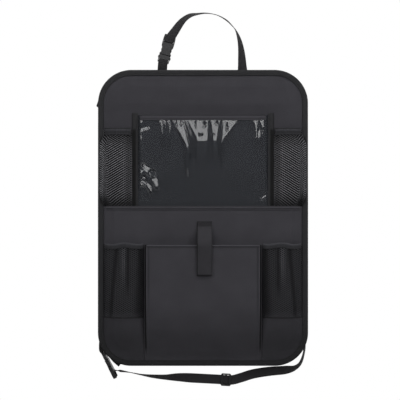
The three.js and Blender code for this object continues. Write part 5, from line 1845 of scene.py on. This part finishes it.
bottom_long = band("bottom_band_long", "bottom_strap_long", buckle_keys(bottom_frame, [
    (-LEG, SOCKET_LENGTH - 1), (-LEG, SOCKET_BAR - 0.2), (-LEG + 0.3, SOCKET_BAR - 1.6), (0, SOCKET_BAR - 2.2),
    (LEG - 1.5, SOCKET_BAR - 1.8), (LEG + 3, SOCKET_BAR - 0.8),
]) + plain_keys(hanging([
    (-0.791, 8, 12.8, 68), (-0.695, 7, 16, 80), (-0.591, 6, 20.4, 74), (-0.491, 5, 23.4, 62), (-0.352, 4, 25.4, 48),
])) + [(on_slide(-52), 24)] + [(on_slide(x), 0) for x in (-24, 4, 32, 60)] + plain_keys(hanging([
    (0.364, 4.4, 26.4, 0), (0.473, 5, 19, 0), (0.636, 6, 13.4, 6), (0.79, 7, 10.6, 20), (0.873, 8, 7, 48),
    (0.927, 8.6, -2, 62), (0.964, 9, -23, 72),
]) + round_the_side(1)[::-1]), body=None)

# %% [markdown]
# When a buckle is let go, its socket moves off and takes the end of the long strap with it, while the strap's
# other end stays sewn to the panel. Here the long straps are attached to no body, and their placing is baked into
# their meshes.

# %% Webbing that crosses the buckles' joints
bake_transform(top_long)
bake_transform(bottom_long)

# %% The box and cross that sew each strap to the back


def cross_box(x, low, high):
    left, right, y = x - 7, x + 7, BACK_LAY + STRAP / 2 + 0.15
    corners = [(left, y, low), (right, y, low), (right, y, high), (left, y, high)]
    pairs = list(zip(corners, corners[1:] + corners[:1])) + [(corners[0], corners[2]), (corners[1], corners[3])]
    return [line_path(a, b, out=(0, 1, 0)) for a, b in pairs]


STRAP_BOXES = [(-TOP_FOOT_X - 1, SEWN_LOW + 4, SEWN_LOW + 20), (TOP_FOOT_X - 1, SEWN_LOW + 4, SEWN_LOW + 20),
               (18 - HALF_WIDTH, 86 - HALF_HEIGHT, 101 - HALF_HEIGHT), (HALF_WIDTH - 18, 86 - HALF_HEIGHT,
                                                                        101 - HALF_HEIGHT)]
seam("strap_stitches", [row for box in STRAP_BOXES for row in cross_box(*box)], length=2.6, gap=1.0)

# %% [markdown]
# ## Buckles and slider
# Moulded acetal has no knife edges: the mould leaves a small round everywhere, and that round is what shows as a
# thin glint. Each moulded piece is therefore a copy of its solid with every sharp edge eased by a third of a
# millimetre, and a weighted normal modifier keeps the flat faces flat to the eye.

# %% Moulded pieces


def moulded(name, node, body):
    bm = bmesh.new()
    bm.from_mesh(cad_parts[node].data)
    bmesh.ops.remove_doubles(bm, verts=bm.verts, dist=0.01 * MM)
    bmesh.ops.dissolve_limit(bm, angle_limit=math.radians(2), verts=bm.verts, edges=bm.edges)
    sharp = [e for e in bm.edges if e.is_manifold and e.calc_face_angle(0.0) > math.radians(28)]
    bmesh.ops.bevel(bm, geom=sharp, offset=0.32 * MM, offset_type="OFFSET", segments=2, profile=0.5,
                    affect="EDGES", clamp_overlap=True, material=-1)
    piece = finish_object(name, bm, PLASTIC, body=body)
    even = piece.modifiers.new("even_shading", "WEIGHTED_NORMAL")
    even.weight = 60
    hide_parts(node)


moulded("top_plug", "top_buckle_plug", "organizer")
moulded("top_socket_shell", "top_buckle_socket", "top_socket")
moulded("bottom_plug", "bottom_buckle_plug", "organizer")
moulded("bottom_socket_shell", "bottom_buckle_socket", "bottom_socket")
moulded("slider_frame", "strap_slider", "slider")

# %% Finishes for what stays hidden
for node, finish in (("foam_core", FOAM), ("closure_hook_patch", HOOKS), ("closure_loop_patch", HOOKS)):
    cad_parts[node].data.materials.clear()
    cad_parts[node].data.materials.append(finish)
